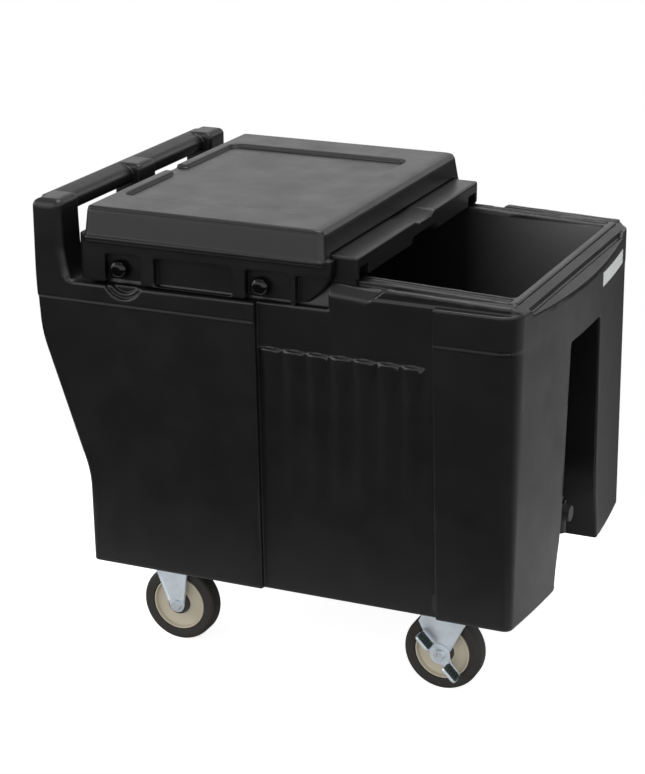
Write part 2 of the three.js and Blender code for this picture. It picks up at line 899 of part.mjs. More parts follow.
function thumbScoop() {
  const top = lid.thickness - seatGap + turnGap;
  const ring = (x, depth) => {
    const bowl = arc(0, 0, 1, 0, Math.PI, 2 * cornerSteps);
    return bowl.map(([a, b]) => [x, lid.pullCentre + lid.thumbHalf * a, top - depth * b]);
  };
  const depth = between(overrun, -lid.thumbLength, 0, 0, lid.thumbDepth);
  return solid(loft([ring(overrun, depth), ring(-lid.thumbLength, turnGap)]));
}

// A domed knob with shallow lobes, on a threaded stud along -Y
function coverKnob() {
  const head = knob.headDiameter / 2;
  const neck = knob.neckDiameter / 2;
  const profile = [
    [0, -knob.studLength],
    [knob.studDiameter / 2, -knob.studLength],
    [knob.studDiameter / 2, 0],
    [neck, 0],
    [neck, knob.neckDepth],
    [head, knob.neckDepth + knob.crown / 3],
    [head, knob.headDepth - knob.crown],
    [head * Math.cos(quarter / 3), knob.headDepth - knob.crown / 2],
    [head * Math.sin(quarter / 3), knob.headDepth],
    [0, knob.headDepth],
  ];
  const points = profile.map(([r, h]) => new THREE.Vector2(r, h));
  const turned = new THREE.LatheGeometry(points, knob.lobes * 2);
  const place = turned.getAttribute("position");
  for (let i = 0; i < place.count; i += 1) {
    const [x, z] = [place.getX(i), place.getZ(i)];
    const reach = Math.hypot(x, z);
    const wave = (1 - Math.cos(knob.lobes * Math.atan2(z, x))) / 2;
    const kept = reach > neck + seatGap ? 1 - (knob.lobeDepth * wave) / reach : 1;
    place.setX(i, x * kept);
    place.setZ(i, z * kept);
  }
  return solid(turned);
}

function knobInsert() {
  const bore = boreRadius(knob.studDiameter / 2 + turnGap / 2);
  const outer = insert.diameter / 2;
  const body = outer - insert.flangeProud;
  const face = -seatGap * 2;
  const profile = [
    [bore, -insert.length],
    [body, -insert.length],
    [body, -insert.flangeWidth],
    [outer, -insert.flangeWidth],
    [outer, face],
    [bore, face],
  ];
  return solid(revolve(profile, smallSteps));
}

// The perforated shelf stands on ribs on the sloped floor of the well
const shelfFoot = well.floorHeight + well.floorRise + shelf.height;
function drainShelf() {
  const lean = well.draft + shelf.clearance;
  const half = wellHalf - lean;
  const x0 = wellRearX + well.heelRun + shelf.clearance;
  const x1 = wellFrontX - lean;
  const reliefHalf = recess.midHalf + recess.wall + shelf.clearance;
  const reliefX = bulgeX - drain.flangeWidth - drain.gasketWidth - shelf.clearance;
  const outline = polygon(roundedOutline(x0, x1, -half, half, well.radius));
  const low = shelfFoot - overrun;
  const high = shelfFoot + overrun;
  let plate = solid(prismZ(outline, shelfFoot, shelfFoot + shelf.sheet));
  plate = plate.subtract(solid(block(reliefX, x1 + overrun, -reliefHalf, reliefHalf, low, high)));
  for (const slot of shelfSlots(x0 + shelf.margin, reliefX - shelf.margin, half - shelf.margin)) {
    plate = plate.subtract(solid(prismZ(polygon(slot), low, high)));
  }
  for (const side of sides) {
    const y = half - shelf.ribInset;
    const x = [x0 + shelf.ribInset, reliefX - shelf.ribInset];
    const rib = block(...x, side * y, side * (y + shelf.ribWidth), 0, shelfFoot + shelf.sheet / 2);
    plate = plate.add(solid(rib));
  }
  // The well's space drawn in a little trims the ribs to the sloped floor
  return plate.intersect(wellSpace(-seatGap));
}

// Rows of drain slots between two places along X, and within half of the middle
function shelfSlots(x0, x1, half) {
  const pitchX = (x1 - x0) / shelf.columns;
  const pitchY = (2 * half) / (shelf.rows - 1);
  const slotHalf = (pitchX - shelf.slotGap) / 2;
  const width = shelf.slotWidth / 2;
  return Array.from({ length: shelf.rows * shelf.columns }, (_, i) => {
    const x = x0 + pitchX * (Math.floor(i / shelf.rows) + 1 / 2);
    const y = pitchY * (i % shelf.rows) - half;
    return roundedOutline(x - slotHalf, x + slotHalf, y - width, y + width, width, 2);
  });
}

// The drain: a flanged tube through the wall, held by a nut in the recess, with a tap on its end
function drainFitting() {
  const tube = drain.tubeDiameter / 2;
  const bore = drain.boreDiameter / 2;
  const flange = drain.flangeDiameter / 2;
  const back = -drain.flangeWidth - drain.gasketWidth - seatGap * 2;
  const face = -drain.gasketWidth - seatGap * 2;
  const end = recess.wall + drain.tubeReach;
  const profile = [[bore, back], [flange, back], [flange, face], [tube, face], [tube, end], [bore, end]];
  return solid(revolve(profile, smallSteps));
}

function drainGasket() {
  const inner = boreRadius(drain.tubeDiameter / 2 + turnGap);
  const outer = drain.flangeDiameter / 2;
  const face = -seatGap;
  const back = face - drain.gasketWidth;
  return solid(revolve([[inner, back], [outer, back], [outer, face], [inner, face]], smallSteps));
}

function hexRing(across, inner, h0, h1) {
  const outer = across / 2 / Math.cos(Math.PI / 6);
  const nut = new THREE.CylinderGeometry(outer, outer, h1 - h0, 6).translate(0, (h0 + h1) / 2, 0);
  return solid(nut).subtract(solid(rodY(0, 0, boreRadius(inner), h0 - overrun, h1 + overrun)));
}

function drainNut() {
  const foot = recess.wall + seatGap;
  return hexRing(drain.nutAcross, drain.tubeDiameter / 2 + turnGap, foot, foot + drain.nutWidth);
}

// The tap body: a collar on the drain tube, a barrel, a spout down and a stem up for the lever
function drainTap() {
  const start = recess.wall + drain.nutWidth + seatGap * 2;
  const collarEnd = start + tap.collarLength;
  const end = collarEnd + tap.bodyLength;
  const spoutX = collarEnd + tap.bodyLength / 2;
  const socket = recess.wall + drain.tubeReach + seatGap;
  const seat = tap.bodyDiameter / 2 + tap.seatHeight;
  const outside = union(
    solid(rodX(0, 0, tap.collarDiameter / 2, start, collarEnd)),
    solid(rodX(0, 0, tap.bodyDiameter / 2, collarEnd - seatGap, end)),
    solid(rodZ(spoutX, 0, tap.spoutDiameter / 2, -tap.spoutDrop, 0)),
    solid(rodZ(spoutX, 0, tap.leverHub / 2, 0, seat)),
    solid(rodZ(spoutX, 0, tap.stemDiameter / 2, 0, seat + tap.stemHeight + tap.leverSheet)),
  );
  return cut(
    outside,
    solid(rodX(0, 0, boreRadius(drain.tubeDiameter / 2 + seatGap), start - overrun, socket)),
    solid(rodX(0, 0, drain.boreDiameter / 2, start, spoutX + tap.spoutBore / 2)),
    solid(rodZ(spoutX, 0, tap.spoutBore / 2, -tap.spoutDrop - overrun, 0)),
  );
}

// The lever turns on the stem, with its middle at the origin
function tapLever() {
  const hub = rodZ(0, 0, tap.leverHub / 2, 0, tap.leverSheet);
  const half = tap.leverWidth / 2;
  const arm = prismZ(polygon(roundedOutline(-half, tap.leverLength, -half, half, half)), 0, tap.leverSheet);
  const bore = rodZ(0, 0, boreRadius(tap.stemDiameter / 2 + turnGap), -overrun, overrun);
  return union(solid(hub), solid(arm)).subtract(solid(bore));
}

// Wheels, about Y, with the axle at the origin. The tyre's flats lie at its radius.
function tyre() {
  const flat = 1 / Math.cos(Math.PI / tyreSteps);
  const outer = wheelRadius * flat;
  const inner = wheel.rimDiameter / 2 + seatGap;
  const half = wheel.width / 2;
  const shoulder = outer - wheel.treadRound;
  const rows = [
    [inner, half],
    [shoulder, half],
    [outer, half - wheel.treadRound],
  ];
  const mirrored = rows.map(([r, h]) => [r, -h]);
  return solid(revolve([...mirrored, ...rows.reverse()], tyreSteps).rotateY(Math.PI / tyreSteps));
}

function wheelHub() {
  const bore = boreRadius(wheel.boreDiameter / 2);
  const boss = wheel.bossDiameter / 2;
  const flat = Math.cos(Math.PI / hubSteps);
  const rimOuter = (wheel.rimDiameter / 2) * flat;
  const rimInner = wheel.rimDiameter / 2 - wheel.lip;
  const rows = [
    [bore, wheel.bossWidth / 2],
    [boss, wheel.bossWidth / 2],
    [boss + wheel.lip / 2, wheel.webWidth / 2],
    [rimInner - wheel.lip, wheel.webWidth / 2],
    [rimInner, wheel.rimWidth / 2],
    [rimOuter, wheel.rimWidth / 2],
  ];
  const mirrored = rows.map(([r, h]) => [r, -h]);
  return solid(revolve([...mirrored, ...rows.reverse()], hubSteps));
}

function axleBush() {
  const inner = boreRadius(axle.diameter / 2 + turnGap / 2);
  const outer = wheel.boreDiameter / 2 - turnGap;
  const half = caster.legGap / 2 - seatGap;
  return solid(revolve([[inner, -half], [outer, -half], [outer, half], [inner, half]], smallSteps));
}

// The bolt's head is on the outer side, past the brake lever where there is one
function axleBolt(headY) {
  const shank = rodY(0, 0, axle.diameter / 2, -headY, boltReach + axle.nutHeight + seatGap * 4);
  const outer = axle.headAcross / 2 / Math.cos(Math.PI / 6);
  const head = new THREE.CylinderGeometry(outer, outer, axle.headHeight, 6);
  return solid(shank).add(solid(head.translate(0, -headY - axle.headHeight / 2 + seatGap, 0)));
}

function axleNut() {
  return hexRing(axle.headAcross, axle.diameter / 2 + turnGap / 2, boltReach, boltReach + axle.nutHeight);
}

// A caster's top plate with its four bolt heads, its top at height 0 and its middle at the origin
function plate(lengthShift) {
  const halfX = caster.plateLength / 2;
  const halfY = caster.plateWidth / 2;
  const [x0, x1] = [lengthShift - halfX, lengthShift + halfX];
  const outline = roundedOutline(x0, x1, -halfY, halfY, caster.plateRadius, cornerSteps - 1);
  let flat = solid(prismZ(polygon(outline), -caster.plateSheet, 0));
  for (const a of sides) {
    for (const b of sides) {
      const x = lengthShift + a * (halfX - boltHead.inset);
      const y = b * (halfY - boltHead.inset);
      const foot = -caster.plateSheet - boltHead.height;
      const radius = boltHead.across / 2 / Math.cos(Math.PI / 6);
      flat = flat.add(solid(rodZ(x, y, radius, foot, -caster.plateSheet / 2, 6)));
    }
  }
  return flat;
}

// The height of a caster's top above its axle
const plateTop = caster.height - wheelRadius - seatGap;

function leg(outline, side) {
  const shape = polygon(outline);
  shape.holes.push(circle(0, 0, boreRadius(axle.diameter / 2 + turnGap / 2), smallSteps));
  return solid(prismY(shape, (side * caster.legGap) / 2, side * legOuter));
}

// The fixed fork of a rear caster, with the axle at the origin
function rigidFork() {
  const top = plateTop - caster.plateSheet / 2;
  const r = caster.legEndRadius;
  const shoulder = rigid.shoulderDrop;
  const spread = (top - shoulder) / shoulder;
  const outline = [
    ...arc(0, 0, r, Math.PI + quarter / 6, 2 * Math.PI - quarter / 9, 2 * cornerSteps),
    [rigid.topFront, shoulder],
    [rigid.topFront + spread * (rigid.topFront - r), top],
    [-rigid.topRear - spread * (rigid.topRear - r), top],
    [-rigid.topRear, shoulder],
  ];
  const flat = plate(-rigid.plateShift).translate([0, 0, plateTop]);
  return union(flat, leg(outline, -1), leg(outline, 1));
}

// The top plate of a swivel caster: upper race and kingpin, about the swivel axis
function swivelPlate() {
  const crown = plateTop - swivel.crownDrop;
  const race = crown + swivel.raceHeight + seatGap;
  const head = crown - caster.sheet - seatGap;
  const top = plateTop - seatGap;
  return union(
    plate(0).translate([0, 0, plateTop]),
    solid(rodZ(0, 0, swivel.raceDiameter / 2, race, top, 2 * smallSteps)),
    solid(rodZ(0, 0, swivel.kingpinDiameter / 2, head - seatGap, top)),
    solid(rodZ(0, 0, swivel.kingpinHead / 2, head - swivel.kingpinHeadHeight, head)),
  );
}

// The swivel fork: crown with the lower race, and two legs that trail to the axle
function swivelFork() {
  const crown = plateTop - swivel.crownDrop;
  const { sheet, legEndRadius } = caster;
  const { legTopHalf, legTopDrop } = swivel;
  const axleX = -swivel.trail;
  const half = swivel.crownDiameter / 2;
  const outline = [
    ...arc(0, 0, legEndRadius, Math.PI + quarter / 4, 2 * Math.PI - quarter / 4, 2 * cornerSteps),
    [legTopHalf, legTopDrop],
    [half - axleX, crown - sheet / 2],
    [-half - axleX, crown - sheet / 2],
    [-legTopHalf, legTopDrop],
  ];
  const legs = sides.map((side) => leg(outline, side).translate([axleX, 0, 0]));
  const disc = rodZ(0, 0, half, crown - sheet, crown, 2 * smallSteps);
  const bridge = block(sheet - half, half - sheet, -legOuter, legOuter, crown - sheet, crown);
  const raceTop = crown + swivel.raceHeight;
  const race = rodZ(0, 0, swivel.raceDiameter / 2, crown - seatGap, raceTop, 2 * smallSteps);
  const boreSize = boreRadius(swivel.kingpinDiameter / 2 + turnGap);
  const bore = rodZ(0, 0, boreSize, crown - overrun, crown + overrun);
  return union(...legs, solid(disc), solid(bridge), solid(race)).subtract(solid(bore));
}

// The brake lever turns on the axle bolt. Its arms lie along local X, its treads face +Z.
function brakeLever() {
  const { sheet, hubRadius, barHalf, armStart, armReach, armSheet } = brake;
  const face = -boltReach;
  const edge = face - brake.armDepth;
  const barReach = armReach - brake.padEdge;
  const barShape = polygon(roundedOutline(-barReach, barReach, -barHalf, barHalf, barHalf));
  const hub = solid(rodY(0, 0, hubRadius, face - sheet, face));
  const boreSize = boreRadius(axle.diameter / 2 + turnGap);
  return union(
    hub,
    solid(prismY(barShape, face - sheet, face)),
    solid(block(-armReach, -armStart, edge, face, -armSheet, 0)),
    solid(block(armStart, armReach, edge, face, -armSheet, 0)),
  ).subtract(solid(rodY(0, 0, boreSize, edge, face + overrun)));
}

// A ribbed rubber tread on the arm at one end of the lever
function brakePad(end) {
  const { padLength, padWidth, padHeight, padEdge, padRibs, padGroove } = brake;
  const centre = end * (brake.armReach - padEdge - padLength / 2);
  const y0 = padEdge - boltReach - brake.armDepth;
  const y1 = y0 + padWidth;
  const x0 = centre - padLength / 2;
  const pitch = padLength / padRibs;
  const half = (pitch - padGroove) / 2;
  const body = solid(block(x0, x0 + padLength, y0, y1, seatGap, padHeight - padGroove));
  const ribs = Array.from({ length: padRibs }, (_, i) => {
    const x = x0 + pitch * (i + 1 / 2);
    return solid(block(x - half, x + half, y0, y1, padHeight / 2, padHeight));
  });
  return union(body, ...ribs);
}

// Finishes
const materials = {
  shell: new THREE.MeshStandardMaterial({ color: 0x1b1b1c, roughness: 0.48, metalness: 0 }),
  lid: new THREE.MeshStandardMaterial({ color: 0x1c1c1d, roughness: 0.44, metalness: 0 }),
  foam: new THREE.MeshStandardMaterial({ color: 0xd9cfa8, roughness: 0.95, metalness: 0 }),
  knob: new THREE.MeshStandardMaterial({ color: 0x0d0d0e, roughness: 0.2, metalness: 0 }),
  brass: new THREE.MeshStandardMaterial({ color: 0xb08d4a, roughness: 0.35, metalness: 1 }),
  white: new THREE.MeshStandardMaterial({ color: 0xe6e6e2, roughness: 0.5, metalness: 0 }),
  grey: new THREE.MeshStandardMaterial({ color: 0x8b8d8c, roughness: 0.45, metalness: 0 }),
  gasket: new THREE.MeshStandardMaterial({ color: 0x232323, roughness: 0.8, metalness: 0 }),
  zinc: new THREE.MeshStandardMaterial({ color: 0xb9c4cc, roughness: 0.34, metalness: 0.9 }),
  steel: new THREE.MeshStandardMaterial({ color: 0xa9adb0, roughness: 0.3, metalness: 1 }),
  hub: new THREE.MeshStandardMaterial({ color: 0xa59b87, roughness: 0.55, metalness: 0 }),
  tyre: new THREE.MeshStandardMaterial({ color: 0x2f2d2b, roughness: 0.75, metalness: 0 }),
  pad: new THREE.MeshStandardMaterial({ color: 0x33413f, roughness: 0.8, metalness: 0 }),
};

function piece(name, body, finish) {
  const mesh = new THREE.Mesh(geometryOf(body), materials[finish].clone());
  mesh.name = name;
  return mesh;
}

function placed(object, x, y, z) {
  object.position.set(x, y, z);
  return object;
}

// The tub and all that is fixed to it, above the casters
function tubGroup() {
  const group = new THREE.Group();
  group.add(piece("body_shell", bodyShell(), "shell"));
  group.add(piece("foam_core", foamSpace(seatGap), "foam"));
  portSetbacks.forEach((setback, i) => {
    const plug = piece("foam_plug_" + ["rear", "front"][i], foamPlug(), "shell");
    group.add(placed(plug, rearX + setback, 0, 0));
  });
  group.add(piece("rear_cover", rearCover(), "shell"));
  group.add(placed(piece("sliding_lid", slidingLid(), "lid"), lidFrontX, 0, lidFoot));
  group.add(piece("drain_shelf", drainShelf(), "white"));
  return group;
}

function knobGroups() {
  const group = new THREE.Group();
  const knobFace = skirtHalf - pocket.depth + seatGap;
  for (const { x, side } of knobPlaces()) {
    const label = (x < rearX + knobSetbacks[1] ? "rear" : "front") + (side > 0 ? "_left" : "_right");
    const turn = side > 0 ? 0 : Math.PI;
    const head = piece("cover_knob_" + label, coverKnob(), "knob");
    const sleeve = piece("knob_insert_" + label, knobInsert(), "brass");
    head.rotation.z = turn;
    sleeve.rotation.z = turn;
    group.add(placed(head, x, side * knobFace, knobHeight));
    group.add(placed(sleeve, x, side * knobSeat, knobHeight));
  }
  return group;
}

function drainGroup() {
  const group = new THREE.Group();
  const turned = new THREE.Group(); // its Y runs along the bin's X
  turned.rotation.z = -quarter;
  turned.add(piece("drain_fitting", drainFitting(), "grey"));
  turned.add(piece("drain_gasket", drainGasket(), "gasket"));
  turned.add(piece("drain_nut", drainNut(), "grey"));
  group.add(turned);
  group.add(piece("drain_tap", drainTap(), "grey"));
  const stemX = recess.wall + drain.nutWidth + seatGap * 2 + tap.collarLength + tap.bodyLength / 2;
  const leverZ = tap.bodyDiameter / 2 + tap.seatHeight + seatGap;
  const lever = placed(piece("tap_lever", tapLever(), "gasket"), stemX, 0, leverZ);
  lever.rotation.z = Math.PI;
  group.add(lever);
  return placed(group, bulgeX, 0, drain.height);
}

function wheelPieces(label, headY) {
  return [
    piece("wheel_hub_" + label, wheelHub(), "hub"),
    piece("tyre_" + label, tyre(), "tyre"),
    piece("axle_bush_" + label, axleBush(), "steel"),
    piece("axle_bolt_" + label, axleBolt(headY), "steel"),
    piece("axle_nut_" + label, axleNut(), "steel"),
  ];
}

function rearCaster(side) {
  const label = "rear_" + (side > 0 ? "left" : "right");
  const group = new THREE.Group();
  group.add(piece("caster_fork_" + label, rigidFork(), "zinc"), ...wheelPieces(label, boltReach));
  return placed(group, rearAxleX, side * wheelY, wheelRadius);
}

// The right caster trails to the rear. The left one is turned, as in the photograph.
function frontCaster(side) {
  const label = "front_" + (side > 0 ? "left" : "right");
  const group = new THREE.Group();
  group.add(piece("caster_plate_" + label, swivelPlate(), "zinc"));
  const turning = new THREE.Group();
  turning.add(piece("caster_fork_" + label, swivelFork(), "zinc"));
  const onAxle = new THREE.Group();
  onAxle.add(...wheelPieces(label, boltReach + brake.sheet + seatGap));
  const lever = new THREE.Group();
  lever.add(piece("brake_lever_" + label, brakeLever(), "zinc"));
  lever.add(piece("brake_pad_on_" + label, brakePad(-1), "pad"));
  lever.add(piece("brake_pad_off_" + label, brakePad(1), "pad"));
  lever.rotation.y = brake.tilt;
  onAxle.add(lever);
  turning.add(placed(onAxle, -swivel.trail, 0, 0));
  turning.rotation.z = side > 0 ? swivel.turn : 0;
  group.add(turning);
  return placed(group, frontAxleX + swivel.trail, side * wheelY, wheelRadius);
}

const bin = new THREE.Group();
bin.name = "mobile_ice_bin";
const aboveCasters = new THREE.Group();
aboveCasters.add(tubGroup(), knobGroups(), drainGroup());
bin.add(placed(aboveCasters, 0, 0, caster.height));
for (const side of sides) bin.add(rearCaster(side), frontCaster(side));

export default bin;
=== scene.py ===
import json
import math

import bpy
import numpy as np
import openvdb
from mathutils import Matrix, Vector


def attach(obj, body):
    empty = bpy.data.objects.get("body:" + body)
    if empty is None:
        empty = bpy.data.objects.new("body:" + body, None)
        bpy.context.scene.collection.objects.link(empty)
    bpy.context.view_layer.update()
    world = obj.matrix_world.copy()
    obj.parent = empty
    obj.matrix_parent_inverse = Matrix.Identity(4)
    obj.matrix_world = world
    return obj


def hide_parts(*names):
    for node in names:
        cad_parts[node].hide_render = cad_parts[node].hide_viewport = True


# A mobile ice bin: the skins that show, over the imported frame. The moulded and pressed pieces are
# distance fields in millimetres that are turned into meshes. The tub's frame has its zero height at
# the tub's underside, FLOOR above the floor. A field that is the same on both sides of y = 0 is
# written for its left half. A box gives x0, x1, y0, y1, z0, z1.
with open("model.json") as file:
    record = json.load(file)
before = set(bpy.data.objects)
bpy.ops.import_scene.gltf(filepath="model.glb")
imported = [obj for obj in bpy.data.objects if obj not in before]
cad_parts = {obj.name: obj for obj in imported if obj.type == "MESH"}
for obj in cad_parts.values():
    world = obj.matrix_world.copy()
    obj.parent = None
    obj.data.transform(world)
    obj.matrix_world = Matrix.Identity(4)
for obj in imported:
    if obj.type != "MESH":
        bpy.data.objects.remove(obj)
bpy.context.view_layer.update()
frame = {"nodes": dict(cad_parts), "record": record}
MM = 0.001
FLOOR = 164.0
FAR = 1e6
COARSE = 1.0
# Roundings that many edges share
CRISP, NEAT, FINE, SLIGHT, LIGHT = 0.3, 0.4, 0.5, 0.8, 1.0
MILD, SOFT, ROUND, FULL, BROAD = 1.2, 1.5, 2.0, 2.5, 3.0


# Fields. Negative is inside, and each keeps near the surface the distance to it. Without a radius the
# edge is sharp.
def rmax(a, b, r=0.0):
    """Where a and b are both inside, with their edge rounded to the radius r."""
    if np.max(r) <= 0:
        return np.maximum(a, b)
    reach = np.hypot(np.maximum(a + r, 0), np.maximum(b + r, 0))
    return np.minimum(np.maximum(a, b), -r) + reach


def rmin(a, b, r=0.0):
    """Where a or b is inside, with a fillet of the radius r between them."""
    return -rmax(-a, -b, r)


def cut(a, b, r=0.0):
    """Where a is inside and b isn't, with their edge rounded to the radius r."""
    return rmax(a, -b, r)


def slab(v, low, high):
    """Between low and high."""
    return np.maximum(low - v, v - high)


def plan(x, y, x0, x1, half, r):
    """A rounded rectangle from x0 to x1 and within half of y = 0."""
    cx, hx = (x0 + x1) / 2, (x1 - x0) / 2
    return rmax(np.abs(x - cx) - hx, np.abs(y) - half, r)


def ramp(v, low, high):
    """0 below low and 1 above high, with a smooth rise between them."""
    t = np.clip((v - low) / (high - low), 0, 1)
    return t * t * (3 - 2 * t)


SOFT_SAMPLES = 9


def soft_interp(v, xs, ys, soft):
    """np.interp with its corners rounded over the reach soft."""
    shifts = np.linspace(-soft, soft, SOFT_SAMPLES)
    return sum(np.interp(v + d, xs, ys) for d in shifts).astype(np.float32) / len(shifts)


class Space:
    """A grid of points, as three broadcastable axes."""

    def __init__(self, box, step):
        self.step = step
        self.low = np.array(box[::2], np.float64)
        self.axes = [np.arange(a, b + step, step, dtype=np.float32) for a, b in zip(box[::2], box[1::2])]
        self.x = self.axes[0][:, None, None]
        self.y = self.axes[1][None, :, None]
        self.z = self.axes[2][None, None, :]

    def window(self, x0=-FAR, x1=FAR, y0=-FAR, y1=FAR, z0=-FAR, z1=FAR):
        """The part of the grid within a box: its index, and its three axes."""
        cuts = []
        for axis, a, b in zip(self.axes, (x0, y0, z0), (x1, y1, z1)):
            i, j = np.searchsorted(axis, (a, b))
            cuts.append(slice(int(i), max(int(j), 1)))
        return tuple(cuts), (self.x[cuts[0]], self.y[:, cuts[1]], self.z[:, :, cuts[2]])


def sample(f, p):
    """Value and gradient of the field at points given in cells."""
    top = np.array(f.shape) - 2
    i = np.clip(np.floor(p).astype(np.int64), 0, top)
    t = np.clip(p - i, 0, 1)
    corners = [(a, b, d) for a in (0, 1) for b in (0, 1) for d in (0, 1)]
    c = {(a, b, d): f[i[:, 0] + a, i[:, 1] + b, i[:, 2] + d] for a, b, d in corners}
    u, v, w = t[:, 0], t[:, 1], t[:, 2]
    ab = {(a, b): c[a, b, 0] * (1 - w) + c[a, b, 1] * w for a in (0, 1) for b in (0, 1)}
    near = ab[0, 0] * (1 - v) + ab[0, 1] * v
    far = ab[1, 0] * (1 - v) + ab[1, 1] * v
    value = near * (1 - u) + far * u
    gx = far - near
    gy = (ab[0, 1] - ab[0, 0]) * (1 - u) + (ab[1, 1] - ab[1, 0]) * u
    gz = sum(
        (c[a, b, 1] - c[a, b, 0]) * (u if a else 1 - u) * (v if b else 1 - v)
        for a in (0, 1)
        for b in (0, 1)
    )
    return value, np.stack([gx, gy, gz], axis=1)


# How a field becomes a mesh. The reaches are in cells of the grid.
BAND_CELLS, SNAP_ROUNDS, SNAP_REACH, NORMAL_REACH = 3, 3, 0.3, 0.6
FLATTEST_SHARE = 0.05
MERGE_SHARE, FINE_MERGE_SHARE = 0.012, 0.006
SHARP_ANGLE = 0.6


def mesh_from(name, space, f, adaptivity=MERGE_SHARE):
    """The zero surface of a field, with its normals from the field."""
    step = space.step
    band = BAND_CELLS * step
    grid = openvdb.FloatGrid(band)
    grid.copyFromArray(np.clip(f, -band, band).astype(np.float32))
    points, tris, quads = grid.convertToPolygons(isovalue=0.0, adaptivity=adaptivity)
    p = points.astype(np.float64)
    for _ in range(SNAP_ROUNDS):
        value, g = sample(f, p)
        size = np.maximum((g * g).sum(axis=1), FLATTEST_SHARE * step * step)
        move = value[:, None] * g / size[:, None]
        p -= np.clip(move, -SNAP_REACH, SNAP_REACH)
    normal = np.zeros_like(p)
    for axis in range(3):
        d = np.zeros(3)
        d[axis] = NORMAL_REACH
        normal[:, axis] = sample(f, p + d)[0] - sample(f, p - d)[0]
    length = np.linalg.norm(normal, axis=1)
    normal /= np.maximum(length, 1e-9)[:, None]
    world = (p * step + space.low) * MM
    mesh = mesh_of(name, world.tolist(), quads.tolist() + tris.tolist(), False)
    mesh.normals_split_custom_set_from_vertices(normal.tolist())
    mesh.update()
    return mesh


def mesh_of(name, points, faces, sharp=True):
    """A smooth mesh, with its edges sharp where its faces meet at more than SHARP_ANGLE."""
    mesh = bpy.data.meshes.new(name)
    mesh.from_pydata(points, [], faces)
    mesh.shade_smooth()
    if sharp:
        mesh.set_sharp_from_angle(angle=SHARP_ANGLE)
    return mesh


def small(name, field, box, step, *extra):
    """A small piece, from a field within the box."""
    step *= COARSE
    margin = BAND_CELLS * step
    grown = [v + (margin if k % 2 else -margin) for k, v in enumerate(box)]
    space = Space(grown, step)
    return mesh_from(name, space, field(space.x, space.y, space.z, *extra), adaptivity=FINE_MERGE_SHARE)


def both_sides(name, box, step, field):
    """A piece in the tub's frame from the field of its left half, with a box of x0, x1, half, z0, z1."""
    step *= COARSE
    x0, x1, half, z0, z1 = box
    count = int(math.ceil(half / step))
    space = Space((x0, x1, 0.0, count * step, z0, z1), step)
    left = field(space)
    space.low[1] = -step * (len(space.axes[1]) - 1)
    whole = np.concatenate([left[:, :0:-1, :], left], axis=1)
    mesh = mesh_from(name, space, whole)
    mesh.transform(shift(0, 0, FLOOR))
    return mesh


def shift(x, y, z):
    return Matrix.Translation((x * MM, y * MM, z * MM))


def show(name, mesh, body, slot, *replaced, finish=None):
    """A mesh as a piece that rides on a body and stands for the named nodes."""
    piece = bpy.data.objects.new(name, mesh)
    bpy.context.scene.collection.objects.link(piece)
    mesh.materials.append(FINISHES[finish or slot])
    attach(piece, body)
    if replaced:
        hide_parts(*replaced)


def lathe(name, profile, steps):
    """A closed solid of revolution about Y from (radius, height) pairs."""
    rows = np.array(profile, np.float64) * MM
    turns = np.arange(steps) * (2 * math.pi / steps)
    points = [(r * math.cos(t), h, r * math.sin(t)) for t in turns for r, h in rows]
    n = len(rows)
    faces = []
    for i in range(steps):
        j = (i + 1) % steps
        for k in range(n):
            m = (k + 1) % n
            faces.append((i * n + k, i * n + m, j * n + m, j * n + k))
    return mesh_of(name, points, faces)


def arc_points(cx, cy, r, start, end, steps):
    angles = np.linspace(math.radians(start), math.radians(end), steps + 1)
    return [(cx + r * math.cos(a), cy + r * math.sin(a)) for a in angles]


# The tub's outside, with the sizes of the CAD
LENGTH, WIDTH, POST_TOP = 803.0, 584.0, 588.0
REAR, FRONT, HALF = -LENGTH / 2, LENGTH / 2, WIDTH / 2
BOW = 16.0
CORNER_X = FRONT - BOW
LEDGE, SHELF, STEP_TOP, LIP_TOP = 488.5, 462.0, 498.0, 499.5
BELT, BELT_PROUD, BELT_SLOPE, DRAFT = 431.0, 2.5, 4.0, 2.0
FOOT_ROUND = 4.0
REAR_RADIUS, FRONT_RADIUS, FRONT_TOP_RADIUS = 6.0, 14.0, 36.0
REAR_HEIGHTS = (-50.0, 0.0, 149.0, 374.0, 460.0, 640.0)
REAR_SETBACKS = (86.0, 86.0, 83.0, 6.0, 0.5, 0.0)
REAR_SOFT = 22.0


def side_half(z):
    belt = BELT_PROUD * (1 - ramp(z, BELT, BELT + BELT_SLOPE))
    return HALF - belt - DRAFT * np.maximum(1 - z / LEDGE, 0)


def rear_x(z):
    return REAR + soft_interp(z, REAR_HEIGHTS, REAR_SETBACKS, REAR_SOFT)


def front_x(y, z):
    radius = FRONT_RADIUS + (FRONT_TOP_RADIUS - FRONT_RADIUS) * z / LEDGE
    share = np.clip(np.abs(y) / (side_half(z) - radius), 0, 1)
    return CORNER_X + BOW * (1 - share * share)


def tub_plan(x, y, z):
    side = y - side_half(z)
    radius = FRONT_RADIUS + (FRONT_TOP_RADIUS - FRONT_RADIUS) * np.clip(z / LEDGE, 0, 1)
    nose = rmax(x - front_x(y, z), side, radius)
    return rmax(nose, rmax(rear_x(z) - x, side, REAR_RADIUS))


# The tub's top: the shelf beside the cover, its ramp up to the rim, and the ledge ahead of it, which
# slopes down to the front with a shallow gutter at its foot
SHELF_START, SHELF_END = REAR + 533, REAR + 569
SHELF_FLAT, SHELF_RISE, SHELF_SOFT = 6.0, 4.0, 2.0
STEP_HALF, STEP_REAR, STEP_FRONT, STEP_RADIUS = 260.0, -300.0, 381.5, 40.0
FALL, FALL_SLOPE, FALL_RUN = 5.0, 0.45, 30.0
FALL_X, FALL_Y = (376.0, 381.0), (228.0, 240.0)
GUTTER, GUTTER_REAR, GUTTER_FRONT = 2.5, (379.0, 381.0), (384.0, 387.0)


